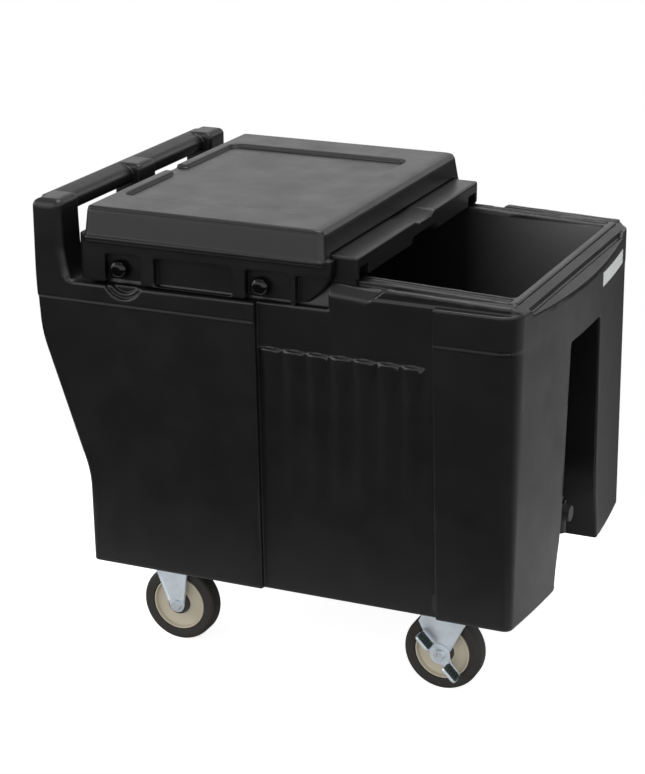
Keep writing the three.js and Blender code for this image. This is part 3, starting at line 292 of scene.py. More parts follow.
def tub_top(x, y):
    places = (REAR, REAR + SHELF_FLAT, SHELF_START, SHELF_END)
    shelf = soft_interp(x, places, (SHELF, SHELF, SHELF + SHELF_RISE, STEP_TOP), SHELF_SOFT)
    gutter = GUTTER * ramp(x, *GUTTER_REAR) * (1 - ramp(x, *GUTTER_FRONT))
    drop = FALL + FALL_SLOPE * np.clip(x - STEP_FRONT, 0, FALL_RUN) + gutter
    return rmin(shelf, LEDGE - drop * ramp(x, *FALL_X) * (1 - ramp(y, *FALL_Y)))


# The rim: a foot that leans out to the shelf, the step on it, the wider rim in front of the cover,
# and the lip with its groove. The rim's outer ridge and the lip rise towards the lid.
FOOT_BOX = (STEP_REAR - 30, STEP_FRONT + 12, 150, STEP_HALF + 30, 440, 520)
FOOT_LEAN, FOOT_LOW, FOOT_FRONT, FOOT_RADIUS = 14.0, 440.0, 330.0, 24.0
RIM_LOW, RIM_HIGH = 450.0, 520.0
STEP_OVERLAP = 8.0
RIM_REAR, RIM_HALF, RIM_RADIUS, RIM_PROUD, RIM_EDGE = 60.0, 279.0, 22.0, 0.5, 1.8
RIM_STEP, RIM_SLOPE, RIM_RUN, RIM_STEP_REACH = 3.2, 0.5, 12.0, (0.5, 1.0)
RAMP_SLOPE, RAMP_COSINE = 0.86, 0.76
TRACK_DROP, TRACK_SIDE, RIDGE_Y = 2.5, 1.5, (264.0, 270.0)
RIDGE_SLOPE, RIDGE_START, RIDGE_RUN, LIP_RUN, LIP_X = 0.034, STEP_FRONT - 30, 200.0, 210.0, (100.0, 126.0)
LIP_HALF, LIP_REAR, LIP_FRONT, LIP_RADIUS = 253.5, -292.0, 369.5, 8.0
WELL_HALF, WELL_REAR, WELL_FRONT, WELL_RADIUS = 224.5, -283.0, 358.5, 8.0
GROOVE_Y = (WELL_HALF + 6, LIP_HALF - 2.5)
GROOVE_X = (LIP_REAR + 20, LIP_FRONT - 12)
GROOVE_SINK, GROOVE_RADIUS = 3.0, 4.0


def rim_foot(x, y, z, grow, r=0.0):
    """The foot of the rim, larger on all sides by grow."""
    lean = np.clip((STEP_TOP + grow - z) / (STEP_TOP - SHELF), 0, 1) * FOOT_LEAN
    outline = plan(x, y, STEP_REAR - lean - grow, FOOT_FRONT, STEP_HALF + lean + grow, FOOT_RADIUS)
    return rmax(outline, z - STEP_TOP - grow, r)


def add_rim(f, space):
    at, (x, y, z) = space.window(*FOOT_BOX)
    foot = rmax(rim_foot(x, y, z, 0, ROUND), FOOT_LOW - z)
    f[at] = rmin(f[at], rmax(foot, x - SHELF_END), ROUND)
    at, (x, y, z) = space.window(z0=RIM_LOW, z1=RIM_HIGH)
    step = rmax(plan(x, y, STEP_REAR, STEP_FRONT, STEP_HALF, STEP_RADIUS), z - STEP_TOP, FULL)
    step = rmax(step, x - SHELF_END + STEP_OVERLAP)
    f[at] = rmin(f[at], rmax(step, RIM_LOW - z), FULL)
    track = TRACK_DROP * ramp(y, LIP_HALF, LIP_HALF + TRACK_SIDE) * (1 - ramp(y, *RIDGE_Y))
    ridge = RIDGE_SLOPE * np.clip(RIDGE_START - x, 0, RIDGE_RUN) * ramp(y, *RIDGE_Y)
    before, after = RIM_STEP_REACH
    ahead = RIM_STEP + RIM_SLOPE * np.clip(x - LIP_FRONT, 0, RIM_RUN)
    ahead = ahead * ramp(x, LIP_FRONT - before, LIP_FRONT + after)
    top = STEP_TOP + RIM_PROUD - rmax(track, ahead) + ridge
    rim = rmax(plan(x, y, RIM_REAR, STEP_FRONT, RIM_HALF, RIM_RADIUS), z - top, RIM_EDGE)
    slope = (z - SHELF - SHELF_RISE - (x - SHELF_START) * RAMP_SLOPE) * RAMP_COSINE
    f[at] = rmin(f[at], rmax(rmax(rim, slope, FULL), RIM_LOW - z), SOFT)
    rise = RIDGE_SLOPE * np.clip(RIDGE_START - x, 0, LIP_RUN) * ramp(x, *LIP_X)
    lip = rmax(plan(x, y, LIP_REAR, LIP_FRONT, LIP_HALF, LIP_RADIUS), z - LIP_TOP - rise, LIGHT)
    f[at] = rmin(f[at], rmax(lip, RIM_LOW - z), SLIGHT)
    groove = rmax(slab(y, *GROOVE_Y), slab(x, *GROOVE_X), GROOVE_RADIUS)
    groove = rmax(groove, LIP_TOP + rise - GROOVE_SINK - z, SOFT)
    f[at] = cut(f[at], groove, LIGHT)


# Behind the ramp the ridge goes on to the cover as a crest, which falls off outwards by its side
CREST_BOX = (80, 190, 255, HALF, 440, 515)
CREST_REAR, CREST_FRONT, CREST_INNER, CREST_HALF = 88.0, 178.0, 263.2, 269.0
CREST_TOP, CREST_LOW, CREST_FLAT, CREST_RUN, CREST_FALL = 503.5, 455.0, 10.0, 60.0, 0.075
CREST_SIDE_UP, CREST_SIDE_OUT = 0.616, 0.788


def add_crest(f, space):
    at, (x, y, z) = space.window(*CREST_BOX)
    top = z - (CREST_TOP - CREST_FALL * np.clip(x - CREST_REAR - CREST_FLAT, 0, CREST_RUN))
    crest = rmax(top, top * CREST_SIDE_UP + (y - CREST_HALF) * CREST_SIDE_OUT, SOFT)
    ends = rmax(slab(x, CREST_REAR, CREST_FRONT), CREST_INNER - y, LIGHT)
    crest = rmax(crest, ends, LIGHT)
    f[at] = rmin(f[at], rmax(crest, CREST_LOW - z), SOFT)


# The side panel is sunk between two edges that lean to the rear towards the top, and has flutes
PANEL_BOX = (REAR + 350, REAR + 700, HALF - 30)
PANEL_REAR, PANEL_REAR_LEAN, PANEL_FRONT, PANEL_FRONT_LEAN = REAR + 382, 8.0, REAR + 668, 12.0
PANEL_DEPTH = 9.0
FLUTES, FLUTED, FLUTE_REAR = 7, 266.0, REAR + 377
FLUTE_BOX = (FLUTE_REAR, FLUTE_REAR + FLUTED, HALF - 30, HALF + 5, 50, 400)
FLUTE_FOOT, FLUTE_START, FLUTE_FLARE, FLUTE_TOP = 60.0, 70.0, 330.0, 393.5
FLUTE_SUNK, FLUTE_GROWTH, FLUTE_BLUNT_SHARE = 1.0, 6.0, 0.6
FLUTE_COSINE, FLUTE_ROOT = 0.85, 24.0


def add_panel(f, space):
    at, (x, y, z) = space.window(*PANEL_BOX)
    wall = side_half(z) - PANEL_DEPTH - BELT_PROUD * ramp(z, BELT, BELT + BELT_SLOPE)
    share = np.clip(z / BELT, 0, 1)
    between = slab(x, PANEL_REAR - PANEL_REAR_LEAN * share, PANEL_FRONT - PANEL_FRONT_LEAN * share)
    f[at] = cut(f[at], rmax(between, wall - y), FULL)
    pitch = FLUTED / FLUTES
    at, (x, y, z) = space.window(*FLUTE_BOX)
    wall = side_half(z) - PANEL_DEPTH
    proud = FLUTE_GROWTH * np.clip((z - FLUTE_START) / (FLUTE_TOP - FLUTE_START), 0, 1) - FLUTE_SUNK
    local = np.mod(x - FLUTE_REAR, pitch) - pitch / 2
    sharpness = 1 - FLUTE_BLUNT_SHARE * ramp(z, FLUTE_FLARE, FLUTE_TOP)
    wave = (0.5 + 0.5 * np.cos(local * (2 * np.pi / pitch))) ** sharpness
    flute = rmax((y - (wall + proud * wave)) * FLUTE_COSINE, slab(z, FLUTE_FOOT, FLUTE_TOP), ROUND)
    f[at] = rmin(f[at], rmax(flute, HALF - FLUTE_ROOT - y))


# The handle: a post at each side and one in the middle, and the bar across them, with a tilted top.
# Its fields start at HANDLE_LOW.
HANDLE_END, HANDLE_LOW = REAR + 110, 430.0
POST_HEIGHTS = (430.0, 462.0, 480.0, 511.0, 558.0, 600.0)
POST_DEPTHS = (64.0, 63.5, 57.0, 51.5, 49.5, 49.5)
POST_SIDE, POST_MIDDLE, POST_LOW, POST_SOFT = 62.0, 28.0, 445.0, 6.0
POST_TOP_EDGE, POST_REAR_EDGE, POST_EDGE, POST_FILLET = 10.0, 13.0, 7.0, 9.0
BAR_DEPTH, BAR_HEIGHT, BAR_LEVEL, BAR_TILT, BAR_COSINE = 35.0, 26.0, 8.0, 0.28, 0.96
BAR_END, BAR_EDGE = HALF - 30, 9.0


def add_handle(f, space):
    at, (x, y, z) = space.window(x1=HANDLE_END, z0=HANDLE_LOW)
    outside = tub_plan(x, y, z)
    depth = soft_interp(z, POST_HEIGHTS, POST_DEPTHS, POST_SOFT)
    profile = rmax(rmax(x - REAR - depth, z - POST_TOP, POST_TOP_EDGE), outside, POST_REAR_EDGE)
    side_post = rmax(profile, HALF - POST_SIDE - y, POST_EDGE)
    posts = rmin(side_post, rmax(profile, y - POST_MIDDLE, POST_EDGE))
    f[at] = rmin(f[at], rmax(posts, POST_LOW - z), POST_FILLET)
    tilted = z + (x - REAR - BAR_LEVEL) * BAR_TILT
    height = slab(tilted, POST_TOP - BAR_HEIGHT, POST_TOP) * BAR_COSINE
    bar = rmax(slab(x, REAR, REAR + BAR_DEPTH), height, BAR_EDGE)
    f[at] = rmin(f[at], rmax(bar, y - BAR_END), LIGHT)
    f[at] = rmax(f[at], rmax(outside, z - POST_TOP))


# Finger scoops under the rear knobs, two round steps of (radius, depth, edge)
SCOOP_BOX = (REAR + 110, REAR + 200, HALF - 30, FAR, 430, 520)
SCOOP_X, SCOOP_Z = REAR + 154, SHELF + 16
SCOOPS = ((34.0, 6.0, 2.5), (26.0, 12.0, 2.0))


def cut_scoops(f, space):
    at, (x, y, z) = space.window(*SCOOP_BOX)
    reach = np.hypot(x - SCOOP_X, z - SCOOP_Z)
    for radius, depth, edge in SCOOPS:
        f[at] = cut(f[at], rmax(reach - radius, HALF - depth - y), edge)


# The ice well, with walls that lean inwards below its brim, and the bulge in its front wall
WELL_BRIM, WELL_FLOOR, WELL_RISE, WELL_ROUND = LIP_TOP + 12, 58.0, 14.0, 26.0
WELL_DRAFT, WELL_RUN = 9.0, 16.0
BULGE_X, BULGE_TOP, BULGE_HALF, BULGE_TAPER = 300.5, 423.0, 120.0, 15.0
BULGE_BOX = (BULGE_X - 40, FAR, 0, 190, 0, 470)
BULGE_TOP_EDGE, BULGE_EDGE, BULGE_FILLET = 18.0, 14.0, 12.0


def well_field(space):
    x, y, z = space.x, space.y, space.z
    lean = np.clip((WELL_BRIM - z) / (WELL_BRIM - WELL_FLOOR - WELL_ROUND), 0, 1)
    inset = WELL_DRAFT * lean
    well = plan(x, y, WELL_REAR + WELL_RUN * lean, WELL_FRONT - inset, WELL_HALF - inset, WELL_RADIUS)
    floor = WELL_FLOOR + WELL_RISE * (WELL_FRONT - x) / (WELL_FRONT - WELL_REAR)
    well = rmax(well, floor - z, WELL_ROUND)
    at, (x, y, z) = space.window(*BULGE_BOX)
    half = BULGE_HALF - BULGE_TAPER * np.clip(z / BULGE_TOP, 0, 1)
    bulge = rmax(rmax(y - half, z - BULGE_TOP, BULGE_TOP_EDGE), BULGE_X - x, BULGE_EDGE)
    well[at] = cut(well[at], bulge, BULGE_FILLET)
    return well


# The drain recess, open to the front and below, and the bore for the drain in its rear wall
RECESS_X, RECESS_TOP, RECESS_SOFT = 330.5, 393.0, 8.0
RECESS_BOX = (RECESS_X - 30, FAR, 0, 150, -30, 430)
RECESS_HEIGHTS = (-20.0, 0.0, 42.0, 84.0, 126.0, 393.0)
RECESS_HALVES = (117.0, 115.0, 107.9, 95.4, 90.0, 75.0)
RECESS_TOP_EDGE, RECESS_REAR_EDGE = 4.0, 8.0
DRAIN_Z, DRAIN_RADIUS = 86.0, 13.4


def cut_recess(f, space):
    at, (x, y, z) = space.window(*RECESS_BOX)
    half = soft_interp(z, RECESS_HEIGHTS, RECESS_HALVES, RECESS_SOFT)
    room = rmax(rmax(y - half, z - RECESS_TOP, RECESS_TOP_EDGE), RECESS_X - x, RECESS_REAR_EDGE)
    f[at] = cut(f[at], room, BROAD)
    f[at] = cut(f[at], np.hypot(y, z - DRAIN_Z) - DRAIN_RADIUS, SLIGHT)


# The filling ports below, and the holes behind the knobs. Their boxes give the y and z.
PORT_SETBACKS, PORT_RADIUS, PORT_DEPTH, PORT_REACH = (260.0, 560.0), 10.4, 46.0, 20.0
PORT_BOX, SOCKET_BOX = (0.0, PORT_REACH, -20.0, 50.0), (230.0, 300.0, 470.0, 505.0)
KNOB_SETBACKS, KNOB_Z, KNOB_REACH = {"rear": 143.0, "front": 380.0}, 488.0, 15.0
SOCKET_RADIUS, SOCKET_END = 7.6, 242.0


def cut_holes(f, space):
    for setback in PORT_SETBACKS:
        middle = REAR + setback
        at, (x, y, z) = space.window(middle - PORT_REACH, middle + PORT_REACH, *PORT_BOX)
        port = rmax(np.hypot(x - REAR - setback, y) - PORT_RADIUS, z - PORT_DEPTH)
        f[at] = cut(f[at], port, LIGHT)
    for setback in KNOB_SETBACKS.values():
        middle = REAR + setback
        at, (x, y, z) = space.window(middle - KNOB_REACH, middle + KNOB_REACH, *SOCKET_BOX)
        hole = np.hypot(x - REAR - setback, z - KNOB_Z) - SOCKET_RADIUS
        f[at] = cut(f[at], rmax(hole, SOCKET_END - y), SLIGHT)


def tub_field(space):
    x, y, z = space.x, space.y, space.z
    f = rmax(tub_plan(x, y, z), -z, FOOT_ROUND)
    f = rmax(f, z - tub_top(x, y), BROAD)
    add_rim(f, space)
    add_crest(f, space)
    add_panel(f, space)
    add_handle(f, space)
    cut_scoops(f, space)
    f = cut(f, well_field(space), ROUND)
    cut_recess(f, space)
    cut_holes(f, space)
    return f


# The rear cover, in the tub's frame: a skirt with pockets of (start, end, sill) and a cheek at its
# front, the crown on it with an edge line, and a bead between the two
COVER_REAR, COVER_FRONT = -323.5, 94.5
SKIRT_HALF, SKIRT_WALL, SKIRT_FOOT, SKIRT_TOP = 285.0, 20.5, 466.3, 538.0
SKIRT_BEHIND, SKIRT_RADIUS = 5.0, 18.0
CHEEK_HEIGHTS = (466.3, 473.0, 488.0, 509.0, 526.0, 535.5)
CHEEK_INSETS = (47.0, 37.0, 21.0, 4.0, 1.0, 1.0)
CHEEK_SOFT = 4.0
POCKETS = ((43.5, 103.5, 400.0), (126.5, 257.5, 468.0), (279.5, 352.5, 400.0), (361.0, 440.0, 400.0))
POCKET_TOP, POCKET_RADIUS, POCKET_DEPTH = 512.0, 5.0, 12.0
CROWN_LOW, CROWN_FOOT, CROWN_SHOULDER, COVER_TOP = 530.0, 540.0, 579.0, 583.0
CROWN_REAR, CROWN_FRONT, CROWN_HALF = COVER_REAR + 9.5, COVER_FRONT - 9, HALF - 3.5
CROWN_REAR_LEAN, CROWN_FRONT_LEAN, CROWN_SIDE_LEAN = 1.5, 5.0, 7.0
CROWN_RADIUS, CROWN_EDGE = 9.0, 6.0
ROLL_RUN, ROLL_FORWARD, ROLL_UP = 18.0, 0.42, 0.907
LINE_LOW, LINE_HIGH, LINE_DEPTH = 576.5, 578.6, 0.9
BEAD_REAR, BEAD_FRONT, BEAD_LOW, BEAD_HIGH = COVER_REAR + 8, COVER_FRONT - 9.5, 531.0, 539.0
BEAD_RADIUS, BEAD_EDGE = 10.0, 2.6


def cover_outside(x, y, z):
    inset = soft_interp(z, CHEEK_HEIGHTS, CHEEK_INSETS, CHEEK_SOFT)
    skirt = plan(x, y, COVER_REAR - SKIRT_BEHIND, COVER_FRONT, SKIRT_HALF, SKIRT_RADIUS)
    skirt = rmax(skirt, x - (COVER_FRONT - inset), BROAD)
    skirt = rmax(skirt, slab(z, SKIRT_FOOT, SKIRT_TOP), SOFT)
    for start, end, sill in POCKETS:
        pocket = slab(x, COVER_REAR + start, COVER_REAR + end)
        pocket = rmax(pocket, slab(z, sill, POCKET_TOP), POCKET_RADIUS)
        skirt = cut(skirt, rmax(pocket, SKIRT_HALF - POCKET_DEPTH - y), FULL)
    share = np.clip((z - CROWN_FOOT) / (CROWN_SHOULDER - CROWN_FOOT), 0, 1)
    rear, front = CROWN_REAR + CROWN_REAR_LEAN * share, CROWN_FRONT - CROWN_FRONT_LEAN * share
    crown = plan(x, y, rear, front, CROWN_HALF - CROWN_SIDE_LEAN * share, CROWN_RADIUS)
    crown = rmax(crown, z - COVER_TOP, CROWN_EDGE)
    roll = (x - (COVER_FRONT - ROLL_RUN)) * ROLL_FORWARD + (z - COVER_TOP) * ROLL_UP
    crown = rmax(crown, roll, CROWN_EDGE)
    crown = cut(crown, rmax(slab(z, LINE_LOW, LINE_HIGH), -(crown + LINE_DEPTH)), FINE)
    crown = rmax(crown, CROWN_LOW - z)
    bead = plan(x, y, BEAD_REAR, BEAD_FRONT, HALF, BEAD_RADIUS)
    bead = rmax(bead, slab(z, BEAD_LOW, BEAD_HIGH), BEAD_EDGE)
    return rmin(rmin(skirt, crown, ROUND), bead, MILD)


# What is cut from it: the dished panel on top with a gap in its rear border, the space for the lid,
# open to the front and below, the space for the rim's foot and the knobs' holes
DISH_REAR, DISH_FRONT, DISH_HALF, DISH_RADIUS = COVER_REAR + 31, COVER_FRONT - 68, 197.0, 14.0
DISH_FLOOR = COVER_TOP - 5.5
GAP_HALF, GAP_REAR, GAP_FRONT, GAP_FILLET = 21.0, COVER_REAR - 10, COVER_REAR + 48, 9.0
ROOF, ROOF_EDGE, RIM_GAP, STUD_HOLE = 545.0, 4.0, 0.6, 4.4


def cover_field(space):
    x, y, z = space.x, space.y, space.z
    f = cover_outside(x, y, z)
    dish = plan(x, y, DISH_REAR, DISH_FRONT, DISH_HALF, DISH_RADIUS)
    dish = rmin(dish, rmax(y - GAP_HALF, slab(x, GAP_REAR, GAP_FRONT), ROUND), GAP_FILLET)
    f = cut(f, rmax(dish, DISH_FLOOR - z, FULL), BROAD)
    inner = rmax(COVER_REAR + SKIRT_WALL - x, z - ROOF)
    f = cut(f, rmax(y - (SKIRT_HALF - SKIRT_WALL), inner, ROOF_EDGE), MILD)
    f = cut(f, rim_foot(x, y, z, RIM_GAP), CRISP)
    for setback in KNOB_SETBACKS.values():
        hole = np.hypot(x - REAR - setback, z - KNOB_Z) - STUD_HOLE
        f = cut(f, hole, NEAT)
    return f


# The lid, with its front at x = 0 and its underside at z = 0: a flat slab on two runners, with a
# notch beside each runner, a space to pull it by under its front, and a dip above that space
LID_FRONT, LID_FOOT = 127.5, 508.3
LID_LENGTH, LID_HALF, LID_TOP = 400.0, 262.1, 34.7
LID_CORNER, LID_EDGE = 5.0, 3.5
RUNNER_WIDTH, RUNNER_REAR, RUNNER_FRONT, RUNNER_FOOT, RUNNER_TOP = 8.0, 10.0, -2.5, -9.9, 12.0
NOTCH_WIDTH, NOTCH_TOP, NOTCH_RUN = 45.0, 17.0, 26.0
PULL_Y, PULL_HALF, PULL_TOP, PULL_RUN = 15.0, 53.0, 10.0, 24.0
PULL_CORNER, PULL_INNER_EDGE = 9.0, 4.0
DIP_HALF, DIP_RUN, DIP_DEPTH, DIP_SHARE_MAX = 43.0, 60.0, 7.0, 1.2
LID_BOX = (-LID_LENGTH, 0, -LID_HALF, LID_HALF, -10, LID_TOP)


def lid_field(x, y, z):
    aside = np.abs(y)
    flat = plan(x, y, -LID_LENGTH, 0, LID_HALF, LID_CORNER)
    flat = rmax(rmax(flat, z - LID_TOP, LID_EDGE), -z, SOFT)
    runner = slab(aside, LID_HALF - RUNNER_WIDTH, LID_HALF)
    runner = rmax(runner, slab(x, RUNNER_REAR - LID_LENGTH, RUNNER_FRONT), BROAD)
    f = rmin(flat, rmax(runner, slab(z, RUNNER_FOOT, RUNNER_TOP), SOFT))
    notch = rmax(slab(aside, LID_HALF - NOTCH_WIDTH, LID_HALF - RUNNER_WIDTH), z - NOTCH_TOP, BROAD)
    f = cut(f, rmax(notch, -NOTCH_RUN - x), SOFT)
    pull = rmax(np.abs(y - PULL_Y) - PULL_HALF, z - PULL_TOP, PULL_CORNER)
    f = cut(f, rmax(pull, -PULL_RUN - x, PULL_INNER_EDGE), FULL)
    depth = np.clip((x + DIP_RUN) / DIP_RUN, 0, DIP_SHARE_MAX) * DIP_DEPTH
    bowl = 1 - ((y - PULL_Y) / DIP_HALF) ** 2
    dip = (LID_TOP - depth * np.sqrt(np.clip(bowl, 0, 1))) - z
    dip = rmax(rmax(dip, np.abs(y - PULL_Y) - DIP_HALF), -DIP_RUN - x)
    return cut(f, dip, SOFT)


# Casters. Each field is about the axle or the swivel, with its zero height at the axle. PLATE_TOP is
# the face against the tub, and CROWN the top of a swivel fork.
AXLE, PLATE_GAP, CROWN_DROP = 63.5, 0.3, 13.0
PLATE_TOP = FLOOR - AXLE - PLATE_GAP
CROWN = PLATE_TOP - CROWN_DROP
REAR_AXLE, FRONT_SWIVEL, TRAIL, TRACK = -217.5, 262.5, 20.0, 172.0
HEAD_CONE_SHARE = 0.56
CONE_OUT, CONE_UP, CONE_SINK = 0.6, 0.8, 0.4


def hexagon(u, v, across):
    slant = u * (math.sqrt(3) / 2)
    return rmax(rmax(np.abs(v), np.abs(v / 2 + slant)), np.abs(v / 2 - slant)) - across / 2


def bolt_head(u, v, w, across, height):
    """A hexagon head from w = 0 to height, with its top corners turned off."""
    body = rmax(hexagon(u, v, across), slab(w, 0, height), FINE)
    cone = (np.hypot(u, v) - across * HEAD_CONE_SHARE) * CONE_OUT + (w - height) * CONE_UP + CONE_SINK
    return rmax(body, cone, CRISP)


PLATE_X, PLATE_Y, PLATE_CORNER, PLATE_THICK, PLATE_EDGE = 52.0, 42.0, 8.0, 4.0, 0.9
BOLT_X, BOLT_Y, BOLT_ACROSS, BOLT_HEIGHT, BOLT_SEAT = 39.0, 29.0, 13.0, 4.6, 5.0
WASHER_RADIUS, WASHER_FOOT, WASHER_TOP = 9.5, 5.2, 3.0


def plate_field(x, y, z, middle):
    """The top plate of a caster with its four bolt heads below."""
    flat = plan(x - middle, y, -PLATE_X, PLATE_X, PLATE_Y, PLATE_CORNER)
    flat = rmax(flat, slab(z, PLATE_TOP - PLATE_THICK, PLATE_TOP), PLATE_EDGE)
    u, v = np.abs(x - middle) - BOLT_X, np.abs(y) - BOLT_Y
    washer = slab(z, PLATE_TOP - WASHER_FOOT, PLATE_TOP - WASHER_TOP)
    washer = rmax(np.hypot(u, v) - WASHER_RADIUS, washer, NEAT)
    head = bolt_head(u, v, (PLATE_TOP - BOLT_SEAT) - z, BOLT_ACROSS, BOLT_HEIGHT)
    return rmin(rmin(flat, washer), rmax(head, z - (PLATE_TOP - WASHER_TOP)))


# Outlines of the forks' legs: the rear and front edge at each height
RIGID_HEIGHTS, RIGID_REARS, RIGID_FRONTS = (-20, 0, 50, 100), (-13, -13, -33, -53), (13, 13, 19, 25)
SWIVEL_HEIGHTS = (-20, 0, 50, 86, 100)
SWIVEL_REARS, SWIVEL_FRONTS = (-13, -13, -37.5, -19, -12), (13, 13, 37.5, 59, 60)
LEG_REAR_COSINE, LEG_FRONT_COSINE, EYE_RADIUS = 0.92, 0.95, 13.0
LEG_INNER, LEG_OUTER, AXLE_HOLE = 20.0, 23.0, 5.4
FLANGE_WIDTH, FLANGE_INNER, FLANGE_OUTER, FLANGE_LOW = 3.4, 21.0, 25.0, 6.0
RIGID_PLATE_X, RIGID_SUNK = -14.0, 1.0


def leg_outline(x, z, heights, rears, fronts):
    zs = z[0, 0]
    rear = np.interp(zs, heights, rears).astype(np.float32)[None, None, :]
    front = np.interp(zs, heights, fronts).astype(np.float32)[None, None, :]
    upper = rmax((rear - x) * LEG_REAR_COSINE, (x - front) * LEG_FRONT_COSINE)
    return rmin(rmax(upper, -z), np.hypot(x, z) - EYE_RADIUS, ROUND)


def rigid_fork(x, y, z):
    outline = leg_outline(x, z, RIGID_HEIGHTS, RIGID_REARS, RIGID_FRONTS)
    leg = rmax(outline, slab(np.abs(y), LEG_INNER, LEG_OUTER), LIGHT)
    flange = rmax(outline, -(outline + FLANGE_WIDTH))
    flange = rmax(flange, slab(np.abs(y), FLANGE_INNER, FLANGE_OUTER), MILD)
    leg = rmin(leg, rmax(flange, FLANGE_LOW - z), SOFT)
    leg = rmax(leg, z - PLATE_TOP + RIGID_SUNK)
    leg = cut(leg, np.hypot(x, z) - AXLE_HOLE, CRISP)
    return rmin(plate_field(x, y, z, RIGID_PLATE_X), leg, BROAD)


RACE_RADIUS, PIN_RADIUS, RIVET_RADIUS, UNDER_PLATE = 34.0, 6.5, 13.0, 0.5
RACE_FOOT, RACE_EDGE, PIN_FOOT, RIVET_FOOT, RIVET_TOP = 4.8, 2.2, 6.0, 8.3, 3.3


def swivel_plate(x, y, z):
    reach = np.hypot(x, y)
    top = PLATE_TOP - UNDER_PLATE
    race = rmax(reach - RACE_RADIUS, slab(z, CROWN + RACE_FOOT, top), RACE_EDGE)
    pin = rmax(reach - PIN_RADIUS, slab(z, CROWN - PIN_FOOT, top), FINE)
    rivet = rmax(reach - RIVET_RADIUS, slab(z, CROWN - RIVET_FOOT, CROWN - RIVET_TOP), SOFT)
    return rmin(plate_field(x, y, z, 0), rmin(rmin(race, pin), rivet), SLIGHT)


LEG_SUNK, CROWN_THICK, DISC_RADIUS = 1.4, 3.0, 39.0
BRIDGE_X, BRIDGE_Y, BRIDGE_CORNER, BRIDGE_FILLET = 36.0, 21.5, 6.0, 4.0
CUP_SUNK, CUP_TOP, PIN_HOLE = 1.0, 4.5, 6.9


def swivel_fork(x, y, z):
    u = x + TRAIL
    outline = leg_outline(u, z, SWIVEL_HEIGHTS, SWIVEL_REARS, SWIVEL_FRONTS)
    leg = rmax(outline, slab(np.abs(y), LEG_INNER, LEG_OUTER), LIGHT)
    leg = rmax(leg, z - CROWN + LEG_SUNK)
    leg = cut(leg, np.hypot(u, z) - AXLE_HOLE, CRISP)
    reach = np.hypot(x, y)
    crown = slab(z, CROWN - CROWN_THICK, CROWN)
    disc = rmax(reach - DISC_RADIUS, crown, MILD)
    bridge = rmax(plan(x, y, -BRIDGE_X, BRIDGE_X, BRIDGE_Y, BRIDGE_CORNER), crown, LIGHT)
    cup = rmax(reach - RACE_RADIUS, slab(z, CROWN - CUP_SUNK, CROWN + CUP_TOP), ROUND)
    f = rmin(leg, rmin(disc, bridge), BRIDGE_FILLET)
    return cut(rmin(f, cup, LIGHT), reach - PIN_HOLE, NEAT)


# The brake: a pressed lever across the axle with an arm at each end, and a ribbed pad on each arm
LEVER_FACE, LEVER_THICK, LEVER_HUB, LEVER_HOLE = -23.3, 3.0, 17.0, 5.6
STRAP_X, STRAP_Z, STRAP_CORNER, STRAP_FILLET = 45.5, 5.7, 5.6, 8.0
ARM_INNER, ARM_OUTER, ARM_END, ARM_START, ARM_CORNER, ARM_THICK = 17.0, 47.0, 24.0, 1.5, 6.0, 2.5
FOLD_WIDTH, FOLD_TOP, FOLD_EDGE, FOLD_GAP, FOLD_JOIN = 1.6, 2.2, 0.7, 6.0, 0.6
PAD_X, PAD_Y, PAD_CORNER, PAD_LOW, PAD_TOP, PAD_GROOVES = 13.5, 9.0, 2.2, 0.3, 5.0, 5
PAD_GROOVE_HALF, PAD_GROOVE_LOW = 0.95, 3.2
PAD_ALONG, PAD_OUT = 32.0, 36.8


def brake_lever(x, y, z):
    reach = np.hypot(x, z)
    strap = rmax(np.abs(x) - STRAP_X, np.abs(z) - STRAP_Z, STRAP_CORNER)
    side = rmin(reach - LEVER_HUB, strap, STRAP_FILLET)
    side = rmax(side, slab(y, LEVER_FACE - LEVER_THICK, LEVER_FACE), SLIGHT)
    arm = slab(y, LEVER_FACE - ARM_END, LEVER_FACE - ARM_START)
    arm = rmax(slab(np.abs(x), ARM_INNER, ARM_OUTER), arm, ARM_CORNER)
    tread = rmax(arm, slab(z, -ARM_THICK, 0), SLIGHT)
    rim = rmax(arm, -(arm + FOLD_WIDTH))
    rim = rmax(rim, slab(z, -ARM_THICK, FOLD_TOP), FOLD_EDGE)
    rim = rmax(rim, y - (LEVER_FACE - FOLD_GAP))
    f = rmin(side, rmin(tread, rim, FOLD_JOIN), BROAD)
    return cut(f, reach - LEVER_HOLE, NEAT)


def brake_pad(x, y, z):
    pitch = 2 * PAD_X / PAD_GROOVES
    local = np.mod(x + PAD_X, pitch) - pitch / 2
    body = rmax(np.abs(x) - PAD_X, np.abs(y) - PAD_Y, PAD_CORNER)
    body = rmax(body, slab(z, PAD_LOW, PAD_TOP), LIGHT)
    groove = np.abs(np.abs(local) - pitch / 2) - PAD_GROOVE_HALF
    return cut(body, rmax(groove, PAD_GROOVE_LOW - z, FINE), FINE)


# An axle bolt, with its head at -head_y. The front bolts, whose head lies further out, have a square
# socket.
SHANK_RADIUS, SHANK_END = 5.0, 31.5
AXLE_WASHER_RADIUS, AXLE_WASHER_THICK = 9.2, 1.3
AXLE_HEAD_SEAT, AXLE_HEAD_ACROSS, AXLE_HEAD_HEIGHT = 1.0, 16.6, 5.0
SQUARE_HALF, SQUARE_FLOOR = 3.6, 3.0
REAR_HEAD_Y, FRONT_HEAD_Y = 23.3, 26.6


